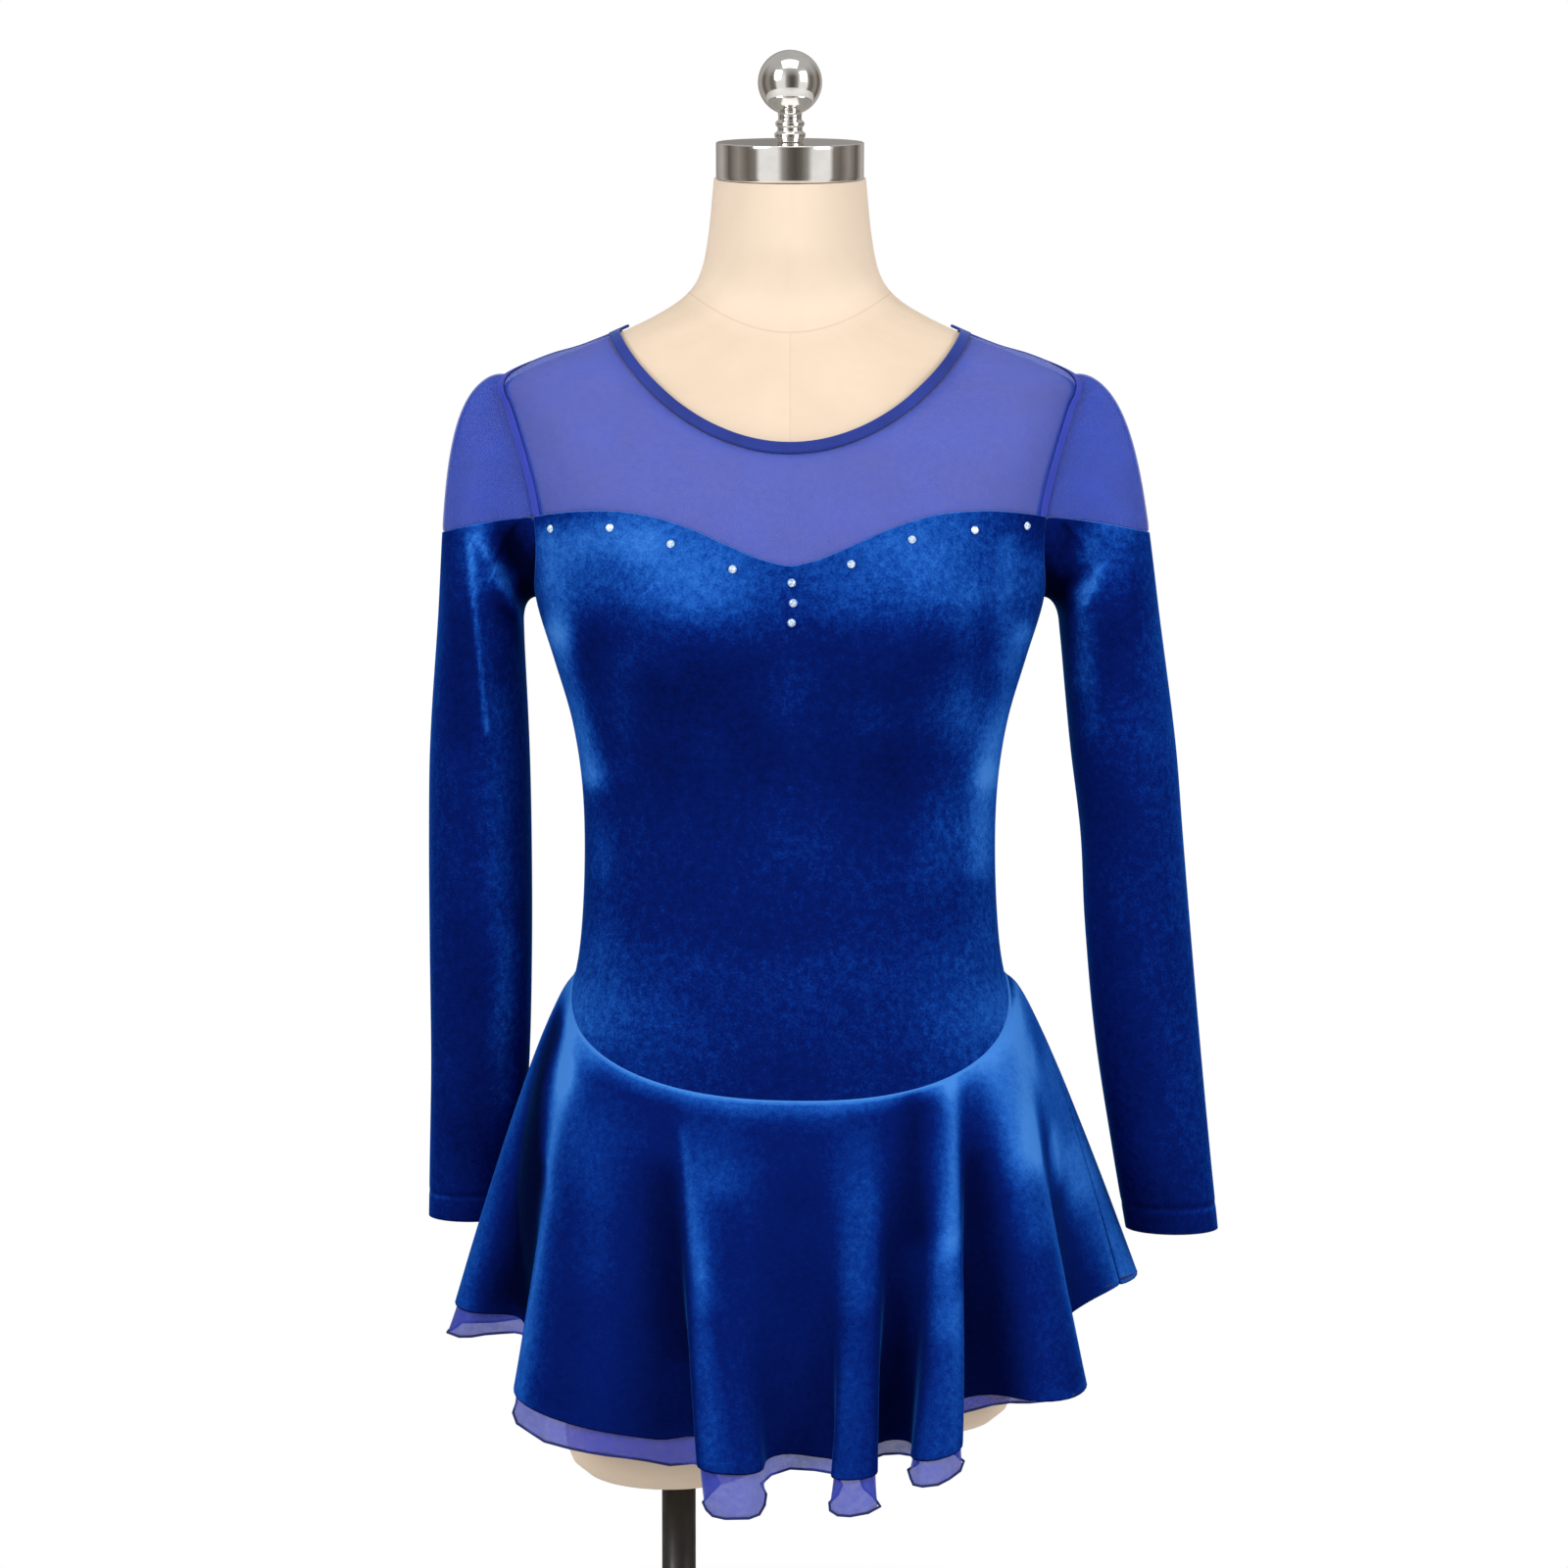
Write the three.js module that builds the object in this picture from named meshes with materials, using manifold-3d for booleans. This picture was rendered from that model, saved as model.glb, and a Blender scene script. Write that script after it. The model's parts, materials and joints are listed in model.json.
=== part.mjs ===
// A long-sleeved figure skating dress, worn by a limbless dress form on a short round stand.
// Millimetres, +Z up, the front towards -Y. The origin is the middle of the stand's underside.
// Angles round the body are in degrees: 0 at the centre front, 90 at +X, 180 at the centre back.
import * as THREE from "three";
import { mergeVertices } from "three/addons/utils/BufferGeometryUtils.js";
import Module from "manifold-3d";

const wasm = await Module();
wasm.setup();

// ---- Cloth -----------------------------------------------------------------------------------
const VELVET = 1.4; // wall of the stretch velvet
const NET = 1.0; // wall of the stretch net
const CHIFFON = 1.0; // wall of the chiffon underskirt
const BRIEFS = 1.0; // wall of the briefs' knit
const EASE = 2; // air between the form and the cloth worn tight on it
const SHOULDER_EASE = 0.8; // and along the shoulder seams, where the dress hangs on the form
const TIP_EASE = { more: 1.5, z: 981, tall: 13 }; // and round the tips of the shoulders
const SEAM = 0.3; // gap between two pieces at a seam

// ---- Form: level sections ----------------------------------------------------------------------
// half = half width, front and back = depth from the side line, square = 2 for an ellipse, more is boxier.
const SECTIONS = [
  { z: 300, half: 132, front: 66, back: 84, square: 2.2 },
  { z: 392, half: 149, front: 78, back: 100, square: 2.2 },
  { z: 440, half: 158, front: 87, back: 110, square: 2.3 },
  { z: 490, half: 160, front: 93, back: 113, square: 2.3 },
  { z: 540, half: 152, front: 97, back: 107, square: 2.3 },
  { z: 580, half: 141, front: 98, back: 96, square: 2.3 },
  { z: 618, half: 128.5, front: 94, back: 83, square: 2.3 },
  { z: 650, half: 124, front: 89, back: 75, square: 2.3 },
  { z: 700, half: 122.2, front: 84, back: 71, square: 2.3 },
  { z: 740, half: 124, front: 84, back: 75, square: 2.3 },
  { z: 777, half: 130, front: 87, back: 82, square: 2.3 },
  { z: 813, half: 140.5, front: 90, back: 89, square: 2.4 },
  { z: 850, half: 151.5, front: 91, back: 94, square: 2.5 },
  { z: 900, half: 158, front: 86, back: 95, square: 2.6 },
  { z: 940, half: 166, front: 75, back: 90, square: 2.5 },
  { z: 966, half: 172, front: 66, back: 84, square: 2.2 },
  { z: 979, half: 173, front: 61, back: 80, square: 2.0 },
  { z: 990, half: 153, front: 57, back: 76, square: 2.0 },
  { z: 1000, half: 128, front: 54, back: 72, square: 2.0 },
  { z: 1010, half: 103, front: 52, back: 68, square: 2.0 },
  { z: 1020, half: 82, front: 51, back: 63, square: 2.0 },
  { z: 1030, half: 66, front: 51, back: 58, square: 2.0 },
  { z: 1042, half: 56, front: 53, back: 53, square: 2.0 },
  { z: 1062, half: 50.4, front: 57, back: 45, square: 2.0 },
  { z: 1101.3, half: 46, front: 59.5, back: 35.5, square: 2.0 },
];
const BUST = { out: 19, x: 70, z: 822, wide: 40, tall: 37 }; // one smooth rise each side of the front
const NECK = { tilt: 8, from: 1030, top: 1101.3 }; // the neck leans forward, and so does its cap
const THIGH_ENDS = [
  { x: -74, y: 8, half: 66, depth: 80, bottom: 307 }, // the side that the pole carries
  { x: 74, y: 8, half: 66, depth: 80, bottom: 340 },
];
const THIGH_TOP = 420;
const CROTCH = 392;
// The torso's rounded foot: how far each level is below the crotch, and its share of the full section.
const TORSO_FOOT = [
  { below: 12, scale: 0.72 },
  { below: 6, scale: 0.92 },
];
// The thighs' rounded ends: how far each level is above the end, and its share of the full section.
const THIGH_FOOT = [
  { up: 0, scale: 0.62 },
  { up: 3, scale: 0.8 },
  { up: 10, scale: 0.92 },
  { up: 24, scale: 0.985 },
  { up: 40, scale: 1 },
];

// ---- Stand, cap and finial ---------------------------------------------------------------------
const BASE = { radius: 150, height: 8, bevel: 2.5, foot: 1 };
const COLLAR = { radius: 24, height: 22, flange: 4, fillet: 8, wall: 5, taper: 1 };
const POLE = { x: -69, y: 8, radius: 10.5 };
const CAP = { radius: 44.6, height: 22, edge: 0.8 };
// The finial's turned stem, from its foot upwards as radius and height, and the ball on top of it.
const STEM = [
  [0, 0],
  [8.6, 0],
  [9.4, 4],
  [7.6, 7.5],
  [7.6, 10.5],
  [8.6, 13.5],
];
const BALL = { radius: 19.3, above: 35.1, from: 22 };

// ---- Dress edges ---------------------------------------------------------------------------------
const SIDE_SEAM_Z = 618; // where the skirt, the bodice's side seam and the briefs meet
const SKIRT_SEAM = { frontDip: 64, backDip: 28, lowAt: 3 }; // the joint curves down to lowAt degrees
const ARMHOLE = { y: 5, z: 915.5, tall: 66.5, deep: 36, egg: 20 };
const YOKE_CORNER = 105; // degrees round the armhole from its top, where velvet meets net
const SWEETHEART = [
  { x: 0, z: 869 },
  { x: 20, z: 874 },
  { x: 40, z: 882.5 },
  { x: 60, z: 891.5 },
  { x: 86, z: 899.5 },
  { x: 115, z: 902 },
  { x: 140, z: 900.5 },
  { x: 160, z: 897.5 },
];
const BACK_TOP = { side: 897.5, middle: 888 };
const NECKLINE = { half: 103.5, z: 1013, frontDrop: 71, backDrop: 30, frontRound: 1.55, backRound: 1.3 };
// How the line moves for each millimetre away from the opening: sideways, down, and deeper in the middle.
const NECK_EDGE = { sideways: 0.93, down: 0.37, deeper: 0.63 };
const BINDING = { wide: 7, thick: 1.9 };
const LEG_LINE = { side: 505, crotch: 404, gusset: 0.2 }; // gusset is its share of the half width

// ---- Sleeves: level sections below the underarm, x outward from the middle of the body -------------
const SLEEVES = {
  left: [
    { z: 835, x: 189.3, y: 8, half: 26, deep: 53 },
    { z: 760, x: 190.5, y: 12, half: 30.4, deep: 48 },
    { z: 700, x: 190.8, y: 16, half: 31.6, deep: 45 },
    { z: 630, x: 191.3, y: 22, half: 31.6, deep: 41 },
    { z: 560, x: 192.8, y: 32, half: 30.6, deep: 37 },
    { z: 500, x: 196.3, y: 41, half: 29.1, deep: 32.5 },
    { z: 461, x: 199, y: 45.5, half: 27.6, deep: 29.5 },
  ],
  right: [
    { z: 835, x: 195.5, y: 6, half: 30.8, deep: 52 },
    { z: 760, x: 204.2, y: 8, half: 32.3, deep: 48 },
    { z: 704, x: 210.2, y: 10, half: 31.3, deep: 45 },
    { z: 650, x: 214.2, y: 13, half: 32.3, deep: 42 },
    { z: 578, x: 221.2, y: 17, half: 32.3, deep: 37 },
    { z: 506, x: 230.7, y: 21, half: 30.3, deep: 32 },
    { z: 456.5, x: 238, y: 25.5, half: 28.8, deep: 29 },
  ],
};
const SLEEVE_JOIN = 835;
const SLEEVE_NET_EDGE = { outer: 889, corner: 898 };
const SLEEVE_START = 0.3; // the sleeve's outer face at the armhole, out from the bodice's inner face
const HEAD_LENGTH = 60; // about how long the sleeve is from the armhole to its first level section
// How far the cloth leaves the armhole before it turns down, and how straight it then falls.
const CAP_LIFT = { least: 26, most: 114, up: 20 };
const CAP_FALL = { least: 10, most: 160 };
const UNDERARM_GAP = 0.9; // more room between sleeve and bodice under the arm
const UNDERARM_FOLD = { deep: 11, at: 116, wide: 26, down: 0.4, long: 0.25 };
const SLEEVE_ANGLES = [0, 22, 44, 66, 88, 105, 125, 145, 163, 180];
const SLEEVE_SHARES = [1, 0.7, 0.35, 0];
const CAP_ANGLES = [103, 88, 66, 44, 22, 0, -22, -44, -66, -88, -103];
const CAP_SHARES = [1, 0.8, 0.6, 0.4, 0.2, 0];

// ---- Skirt: turning points of its folds, and how far each reaches out at the hem -------------------
const FOLDS = [
  { at: -180, out: 66, lean: 0 },
  { at: -167, out: 20, lean: 0 },
  { at: -155, out: 72, lean: 5 },
  { at: -143, out: 18, lean: 0 },
  { at: -131, out: 60, lean: -4 },
  { at: -107, out: 24, lean: 0 },
  { at: -91, out: 74, lean: 12 },
  { at: -76, out: 30, lean: 0 },
  { at: -50, out: 59, lean: -3 },
  { at: -17, out: 24, lean: 0 },
  { at: -7, out: 68, lean: -9 },
  { at: 1.5, out: 22, lean: 0 },
  { at: 9.5, out: 62, lean: 0 },
  { at: 16.5, out: 16, lean: 0 },
  { at: 25, out: 66, lean: 8 },
  { at: 37, out: 16, lean: 0 },
  { at: 53, out: 68, lean: 6 },
  { at: 76, out: 36, lean: 0 },
  { at: 101, out: 94, lean: 6 },
  { at: 117, out: 30, lean: 0 },
  { at: 130, out: 66, lean: 5 },
  { at: 142, out: 18, lean: 0 },
  { at: 154, out: 70, lean: -6 },
  { at: 167, out: 20, lean: 0 },
  { at: 180, out: 66, lean: 0 },
];
const SKIRT = { length: 220, valleyLift: 0.3, curl: 0.16, clear: 9, stepsPerFold: 3 };
// All the cloth flares out by this much at the hem, starting at the joint; the folds deepen lower down.
const FLARE = { front: 40, side: 66, start: 0.8, leftStart: 0.78, rightStart: 0.65, deepen: 1.5 };
const SKIRT_ROWS = [0, 0.05, 0.22, 0.45, 0.72, 1];
const SIDE_GAP = 0.08; // degrees of half the side seam's gap
// How much longer the velvet is cut than the length above.
const HEM = [
  { at: -180, more: 0 },
  { at: -107, more: 0 },
  { at: -91, more: -4 },
  { at: -68, more: -3 },
  { at: -50, more: -6 },
  { at: -30, more: 0 },
  { at: 30, more: 0 },
  { at: 42, more: -9 },
  { at: 53, more: -8 },
  { at: 66, more: 0 },
  { at: 78, more: 12 },
  { at: 88, more: 3 },
  { at: 101, more: -14 },
  { at: 117, more: -4 },
  { at: 130, more: 0 },
  { at: 180, more: 0 },
];
const UNDERSKIRT_GAP = 0.6;
// How far the chiffon hangs below the velvet's hem.
const UNDERSKIRT_DROP = [
  { at: -180, drop: 16 },
  { at: -116, drop: 14 },
  { at: -92, drop: 21 },
  { at: -68, drop: 8 },
  { at: -50, drop: 14 },
  { at: -30, drop: 18 },
  { at: -7, drop: 25 },
  { at: 9.5, drop: 19 },
  { at: 25, drop: 11 },
  { at: 40, drop: 12 },
  { at: 53, drop: -2 },
  { at: 101, drop: -2 },
  { at: 130, drop: 12 },
  { at: 180, drop: 16 },
];

// ---- Crystals, set below the velvet's top edge -------------------------------------------------------
const CRYSTAL = { radius: 2.5, top: 1.4, height: 1.7, sides: 8 };
const CRYSTALS = [
  { name: "left_1", x: -140, below: 9 },
  { name: "left_2", x: -105, below: 10 },
  { name: "left_3", x: -69.5, below: 13 },
  { name: "left_4", x: -34, below: 12.5 },
  { name: "right_1", x: 36, below: 10.5 },
  { name: "right_2", x: 71, below: 11 },
  { name: "right_3", x: 107.5, below: 11.5 },
  { name: "right_4", x: 138.5, below: 7.5 },
  { name: "centre_1", x: 1, below: 9.5 },
  { name: "centre_2", x: 2, below: 21.5 },
  { name: "centre_3", x: 1, below: 32.5 },
];

// ---- Small maths -----------------------------------------------------------------------------------
const rad = THREE.MathUtils.degToRad;
const deg = THREE.MathUtils.radToDeg;
const lerp = THREE.MathUtils.lerp;
const clamp = THREE.MathUtils.clamp;
const smooth = (x) => THREE.MathUtils.smoothstep(x, 0, 1);
const vector = (x, y, z) => new THREE.Vector3(x, y, z);
const power = (x, p) => Math.sign(x) * Math.abs(x) ** p;
const count = (n) => Array.from({ length: n }, (_, i) => i);
// n + 1 even steps from a to b.
const steps = (a, b, n) => count(n + 1).map((i) => lerp(a, b, i / n));

// A smooth curve through one column of a table, read at x in the column named by.
function readTable(table, by, key, x) {
  const at = clamp(x, table[0][by], table.at(-1)[by]);
  let i = table.findIndex((row) => row[by] >= at);
  i = Math.max(i, 1);
  const slope = (a, b) => (table[b][key] - table[a][key]) / (table[b][by] - table[a][by]);
  const last = table.length - 1;
  const width = table[i][by] - table[i - 1][by];
  const startSlope = i > 1 ? slope(i - 2, i) : slope(0, 1);
  const endSlope = i < last ? slope(i - 1, i + 1) : slope(last - 1, last);
  const t = (at - table[i - 1][by]) / width;
  const [t2, t3] = [t * t, t * t * t];
  return (
    (2 * t3 - 3 * t2 + 1) * table[i - 1][key] +
    (t3 - 2 * t2 + t) * width * startSlope +
    (3 * t2 - 2 * t3) * table[i][key] +
    (t3 - t2) * width * endSlope
  );
}

// ---- The form's surface ------------------------------------------------------------------------------
const section = (z) => ({
  half: readTable(SECTIONS, "z", "half", z),
  front: readTable(SECTIONS, "z", "front", z),
  back: readTable(SECTIONS, "z", "back", z),
  square: readTable(SECTIONS, "z", "square", z),
});

function bareBody(angle, z) {
  const s = section(z);
  const across = power(Math.sin(rad(angle)), 2 / s.square);
  const ahead = power(Math.cos(rad(angle)), 2 / s.square);
  const x = s.half * across;
  let y = -(ahead > 0 ? s.front : s.back) * ahead;
  if (ahead > 0) {
    const sideways = (Math.abs(x) - BUST.x) / BUST.wide;
    const upward = (z - BUST.z) / BUST.tall;
    y -= BUST.out * Math.exp(-(sideways ** 2 + upward ** 2) / 2) * smooth(ahead * 1.6);
  }
  const lean = clamp((z - NECK.from) / (NECK.top - NECK.from), 0, 1) * Math.tan(rad(NECK.tilt));
  const middle = (s.back - s.front) / 2;
  return vector(x, y, z + (y - middle) * lean);
}

function bodyNormal(angle, z) {
  const round = bareBody(angle + 0.5, z).sub(bareBody(angle - 0.5, z));
  const up = bareBody(angle, z + 0.5).sub(bareBody(angle, z - 0.5));
  return round.cross(up).normalize();
}

// A point of the form's surface, moved straight out from it.
function onBody(angle, z, out) {
  return bareBody(angle, z).addScaledVector(bodyNormal(angle, z), out);
}

// A point of cloth worn on the body, further out than its inner face by out. It sits closer on the shoulders.
function onCloth(angle, z, out) {
  const ridge = smooth(1 - Math.abs(Math.cos(rad(angle))) * 3) * smooth((z - 994) / 8);
  const tip = TIP_EASE.more * Math.exp(-(((z - TIP_EASE.z) / TIP_EASE.tall) ** 2));
  return onBody(angle, z, lerp(EASE + tip, SHOULDER_EASE, ridge) + out);
}

// The angle at which the section at height z has depth y, on the +X side.
function angleAtDepth(y, z) {
  const s = section(z);
  const share = clamp(Math.abs(y) / (y < 0 ? s.front : s.back), 0, 1);
  return deg(Math.acos(-Math.sign(y) * share ** (s.square / 2)));
}

// The angle at which the front of the section at height z is x from the middle.
function angleAtWidth(x, z) {
  const s = section(z);
  const share = clamp(Math.abs(x) / s.half, 0, 1);
  return Math.sign(x) * deg(Math.asin(share ** (s.square / 2)));
}

// ---- Dress lines on the body ---------------------------------------------------------------------------
function skirtSeamZ(angle) {
  const turned = Math.cos(rad(angle - SKIRT_SEAM.lowAt * Math.cos(rad(angle)) ** 2));
  const ahead = Math.cos(rad(angle));
  return ahead > 0
    ? SIDE_SEAM_Z - SKIRT_SEAM.frontDip * turned
    : SIDE_SEAM_Z + SKIRT_SEAM.backDip * ahead;
}

function armholeDepth(b, grow) {
  const forward = ARMHOLE.deep - ARMHOLE.egg * Math.cos(rad(b)) + grow;
  return (ARMHOLE.y * (1 - Math.cos(rad(b)))) / 2 - forward * Math.sin(rad(b));
}

const armholeZ = (b, grow) => ARMHOLE.z + (ARMHOLE.tall + grow) * Math.cos(rad(b));

// A point of the armhole on the +X side: b is 0 at the shoulder, 90 in front, 180 under the arm.
function armholePoint(b, grow, out) {
  const z = armholeZ(b, grow);
  return onCloth(angleAtDepth(armholeDepth(b, grow), z), z, out);
}

const CORNER_Z = armholeZ(YOKE_CORNER, SEAM / 2);

// The neckline: turn runs from -90 to 90 degrees, and away is the distance from the opening's edge.
function necklineAt(turn, away, isBack) {
  const drop = (isBack ? NECKLINE.backDrop : NECKLINE.frontDrop) + NECK_EDGE.deeper * away;
  const round = isBack ? NECKLINE.backRound : NECKLINE.frontRound;
  const x = (NECKLINE.half + NECK_EDGE.sideways * away) * Math.sin(rad(turn));
  const z = NECKLINE.z - NECK_EDGE.down * away - drop * Math.abs(Math.cos(rad(turn))) ** round;
  const ahead = Math.abs(turn) === 90 ? turn : angleAtWidth(x, z);
  return { angle: isBack ? 180 + ahead : ahead, z };
}

// ---- Walls: closed solids from a grid of points ------------------------------------------------------------
function gridNormals(grid, closed) {
  const rows = grid.length;
  const columns = grid[0].length;
  return grid.map((row, r) =>
    row.map((_, c) => {
      const before = closed ? (c + columns - 1) % columns : Math.max(c - 1, 0);
      const after = closed ? (c + 1) % columns : Math.min(c + 1, columns - 1);
      const along = row[after].clone().sub(row[before]);
      const up = grid[Math.min(r + 1, rows - 1)][c].clone().sub(grid[Math.max(r - 1, 0)][c]);
      return along.cross(up).normalize();
    }),
  );
}

const offsetGrid = (grid, normals, by) =>
  grid.map((row, r) => row.map((p, c) => p.clone().addScaledVector(normals[r][c], by)));

// Faces between an outer and an inner grid, closed at their rims. Rows run upwards and columns
// anticlockwise seen from above, so that the outer grid faces out.
function shell(outer, inner, closed) {
  const rows = outer.length;
  const columns = outer[0].length;
  const last = rows - 1;
  const points = [...outer.flat(), ...inner.flat()];
  const out = (r, c) => r * columns + (c % columns);
  const inn = (r, c) => rows * columns + out(r, c);
  const faces = [];
  const quad = (a, b, c, d) => faces.push(a, b, c, a, c, d);
  const across = closed ? columns : columns - 1;
  for (let c = 0; c < across; c++) {
    for (let r = 0; r < last; r++) {
      quad(out(r, c), out(r, c + 1), out(r + 1, c + 1), out(r + 1, c));
      quad(inn(r, c), inn(r + 1, c), inn(r + 1, c + 1), inn(r, c + 1));
    }
    quad(out(0, c), inn(0, c), inn(0, c + 1), out(0, c + 1));
    quad(out(last, c), out(last, c + 1), inn(last, c + 1), inn(last, c));
  }
  if (!closed) {
    const edge = columns - 1;
    for (let r = 0; r < last; r++) {
      quad(out(r, 0), out(r + 1, 0), inn(r + 1, 0), inn(r, 0));
      quad(out(r, edge), inn(r, edge), inn(r + 1, edge), out(r + 1, edge));
    }
  }
  return geometryOf(points, faces);
}

function geometryOf(points, faces) {
  const geometry = new THREE.BufferGeometry();
  geometry.setAttribute("position", new THREE.Float32BufferAttribute(points.flatMap((p) => p.toArray()), 3));
  geometry.setIndex(faces);
  return geometry;
}

// A solid through level rings of points, flat at its two ends.
function ringSolid(rings) {
  const around = rings[0].length;
  const points = [...rings.flat(), centreOf(rings[0]), centreOf(rings.at(-1))];
  const faces = [];
  const at = (r, c) => r * around + (c % around);
  const foot = rings.length * around;
  for (let c = 0; c < around; c++) {
    for (let r = 0; r + 1 < rings.length; r++) {
      faces.push(at(r, c), at(r, c + 1), at(r + 1, c + 1), at(r, c), at(r + 1, c + 1), at(r + 1, c));
    }
    faces.push(foot, at(0, c + 1), at(0, c));
    faces.push(foot + 1, at(rings.length - 1, c), at(rings.length - 1, c + 1));
  }
  return geometryOf(points, faces);
}

const centreOf = (ring) => ring.reduce((sum, p) => sum.add(p), vector(0, 0, 0)).divideScalar(ring.length);

function toManifold(geometry) {
  const bare = geometry.clone();
  bare.deleteAttribute("normal");
  bare.deleteAttribute("uv");
  const merged = mergeVertices(bare);
  const mesh = new wasm.Mesh({
    numProp: 3,
    vertProperties: merged.attributes.position.array,
    triVerts: new Uint32Array(merged.index.array),
  });
  return new wasm.Manifold(mesh);
}

function fromManifold(solid) {
  const mesh = solid.getMesh();
  const geometry = new THREE.BufferGeometry();
  geometry.setAttribute("position", new THREE.BufferAttribute(new Float32Array(mesh.vertProperties), 3));
  geometry.setIndex(new THREE.BufferAttribute(new Uint32Array(mesh.triVerts), 1));
  return geometry;
}

// ---- Materials -----------------------------------------------------------------------------------------
const finish = (color, roughness, metalness, extra = {}) =>
  new THREE.MeshStandardMaterial({ color, roughness, metalness, side: THREE.DoubleSide, ...extra });
const velvet = finish(0x10309a, 0.75, 0);
const net = finish(0x4a55b8, 0.6, 0, { transparent: true, opacity: 0.7 });
const chiffon = finish(0x6a70c4, 0.5, 0, { transparent: true, opacity: 0.65 });
const binding = finish(0x2a3fa8, 0.6, 0);
const briefs = finish(0x12309a, 0.7, 0);
const formCloth = finish(0xf3dcc0, 0.85, 0);
const chrome = finish(0xc9c7c3, 0.12, 1);
const blackSteel = finish(0x151311, 0.45, 0.2);
const crystal = finish(0xe8f1fb, 0.08, 0.1);

const dress = new THREE.Group();
dress.name = "skating_dress";
const form = new THREE.Group();
form.name = "dress_form";

function add(group, name, geometry, material) {
  const mesh = new THREE.Mesh(geometry, material);
  mesh.name = name;
  group.add(mesh);
  return mesh;
}

// ---- Torso panels ------------------------------------------------------------------------------------------
const PANEL_STEPS = { front: 18, back: 16 };
const panelColumns = (isBack) => steps(-1, 1, isBack ? PANEL_STEPS.back : PANEL_STEPS.front);

// A panel worn tight on the body. rows gives, for each row, its points as {angle, z}.
function bodyPanel(rows, thick) {
  const place = (out) => rows.map((row) => row.map((p) => onCloth(p.angle, p.z, out)));
  return shell(place(thick), place(0), false);
}

// The side edge of a front or back panel at height z: the side seam, then the armhole.
function sideEdges(heights, armAngles, isBack) {
  const side = isBack ? 1 : -1;
  const below = heights.map((z) => ({ angle: angleAtDepth((side * SEAM) / 2, z), z }));
  const beside = armAngles.map((b) => {
    const z = armholeZ(b, SEAM / 2);
    const depth = armholeDepth(isBack ? -b : b, SEAM / 2);
    return { angle: angleAtDepth(depth, z), z };
  });
  return [...below, ...beside];
}

// Mirrors an edge on the +X side to column u, which runs from -1 to 1, on the front or the back.
const spread = (angle, u, isBack) => (isBack ? 180 + u * (180 - angle) : u * angle);

function sweetheartZ(angle) {
  const x = Math.abs(bareBody(angle, CORNER_Z).x);
  return readTable(SWEETHEART, "x", "z", x);
}

const backTopZ = (u) => lerp(BACK_TOP.middle, BACK_TOP.side, u * u);

const BODICE_HEIGHTS = [SIDE_SEAM_Z, 652, 690, 728, 760, 785, 803, 817, 832, 848];
const BODICE_ARM = [163, 145, 125, 105];
const YOKE_ARM = [105, 88, 66, 44, 22, 6];
const SHOULDER_HEIGHTS = [985, 990, 997, 1004];

function bodiceRows(isBack) {
  const edges = sideEdges(BODICE_HEIGHTS, BODICE_ARM, isBack);
  const topAngle = edges.at(-1).angle;
  const topZ = (u) => (isBack ? backTopZ(u) : sweetheartZ(u * topAngle));
  return edges.map((edge) => {
    const share = (edge.z - SIDE_SEAM_Z) / (CORNER_Z - SIDE_SEAM_Z);
    return panelColumns(isBack).map((u) => {
      const bottom = skirtSeamZ(spread(edges[0].angle, u, isBack)) + SEAM / 2;
      const top = topZ(u) - SEAM / 2;
      return { angle: spread(edge.angle, u, isBack), z: lerp(bottom, top, share) };
    });
  });
}

function yokeRows(isBack) {
  const side = isBack ? 1 : -1;
  const corner = necklineAt(90, BINDING.wide + SEAM, isBack);
  const shoulder = [...SHOULDER_HEIGHTS, corner.z];
  const onShoulder = shoulder.map((z) => ({ angle: angleAtDepth((side * SEAM) / 2, z), z }));
  const edges = [...sideEdges([], YOKE_ARM, isBack), ...onShoulder];
  const topZ = (u) => (isBack ? backTopZ(u) : sweetheartZ(u * edges[0].angle));
  return edges.map((edge) => {
    const share = (edge.z - CORNER_Z) / (corner.z - CORNER_Z);
    return panelColumns(isBack).map((u) => {
      const neck = necklineAt(u * 90, BINDING.wide + SEAM, isBack);
      const neckShare = (isBack ? neck.angle - 180 : neck.angle) / 90;
      const column = lerp(u, neckShare, share);
      return {
        angle: spread(edge.angle, column, isBack),
        z: lerp(topZ(u) + SEAM / 2, neck.z, share),
      };
    });
  });
}

function bindingGeometry() {
  const turns = (isBack) => panelColumns(isBack).map((u) => u * 90);
  const ring = (away, out) => {
    const place = (turn, isBack) => {
      const p = necklineAt(turn, away, isBack);
      return onCloth(p.angle, p.z, out);
    };
    return [
      ...turns(false).map((turn) => place(turn, false)),
      ...turns(true).slice(1, -1).map((turn) => place(turn, true)),
    ];
  };
  const grid = (out) => [ring(BINDING.wide, out), ring(0, out)];
  return shell(grid(BINDING.thick), grid(0), true);
}

// ---- Briefs -------------------------------------------------------------------------------------------------
// Where the leg opening cuts the briefs, from the side seam down to the gusset.
function legLineZ(u) {
  const fall = smooth(1 - (Math.abs(u) - LEG_LINE.gusset) / (1 - LEG_LINE.gusset));
  return lerp(LEG_LINE.side, LEG_LINE.crotch, fall);
}

function briefsRows(isBack) {
  const edges = steps(LEG_LINE.side, SIDE_SEAM_Z, 6);
  return edges.map((z, i) => {
    const edge = angleAtDepth(((isBack ? 1 : -1) * SEAM) / 2, z);
    const share = i / (edges.length - 1);
    return panelColumns(isBack).map((u) => {
      const angle = spread(edge, u, isBack);
      return { angle, z: lerp(legLineZ(u), skirtSeamZ(angle) - SEAM / 2, share) };
    });
  });
}

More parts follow.
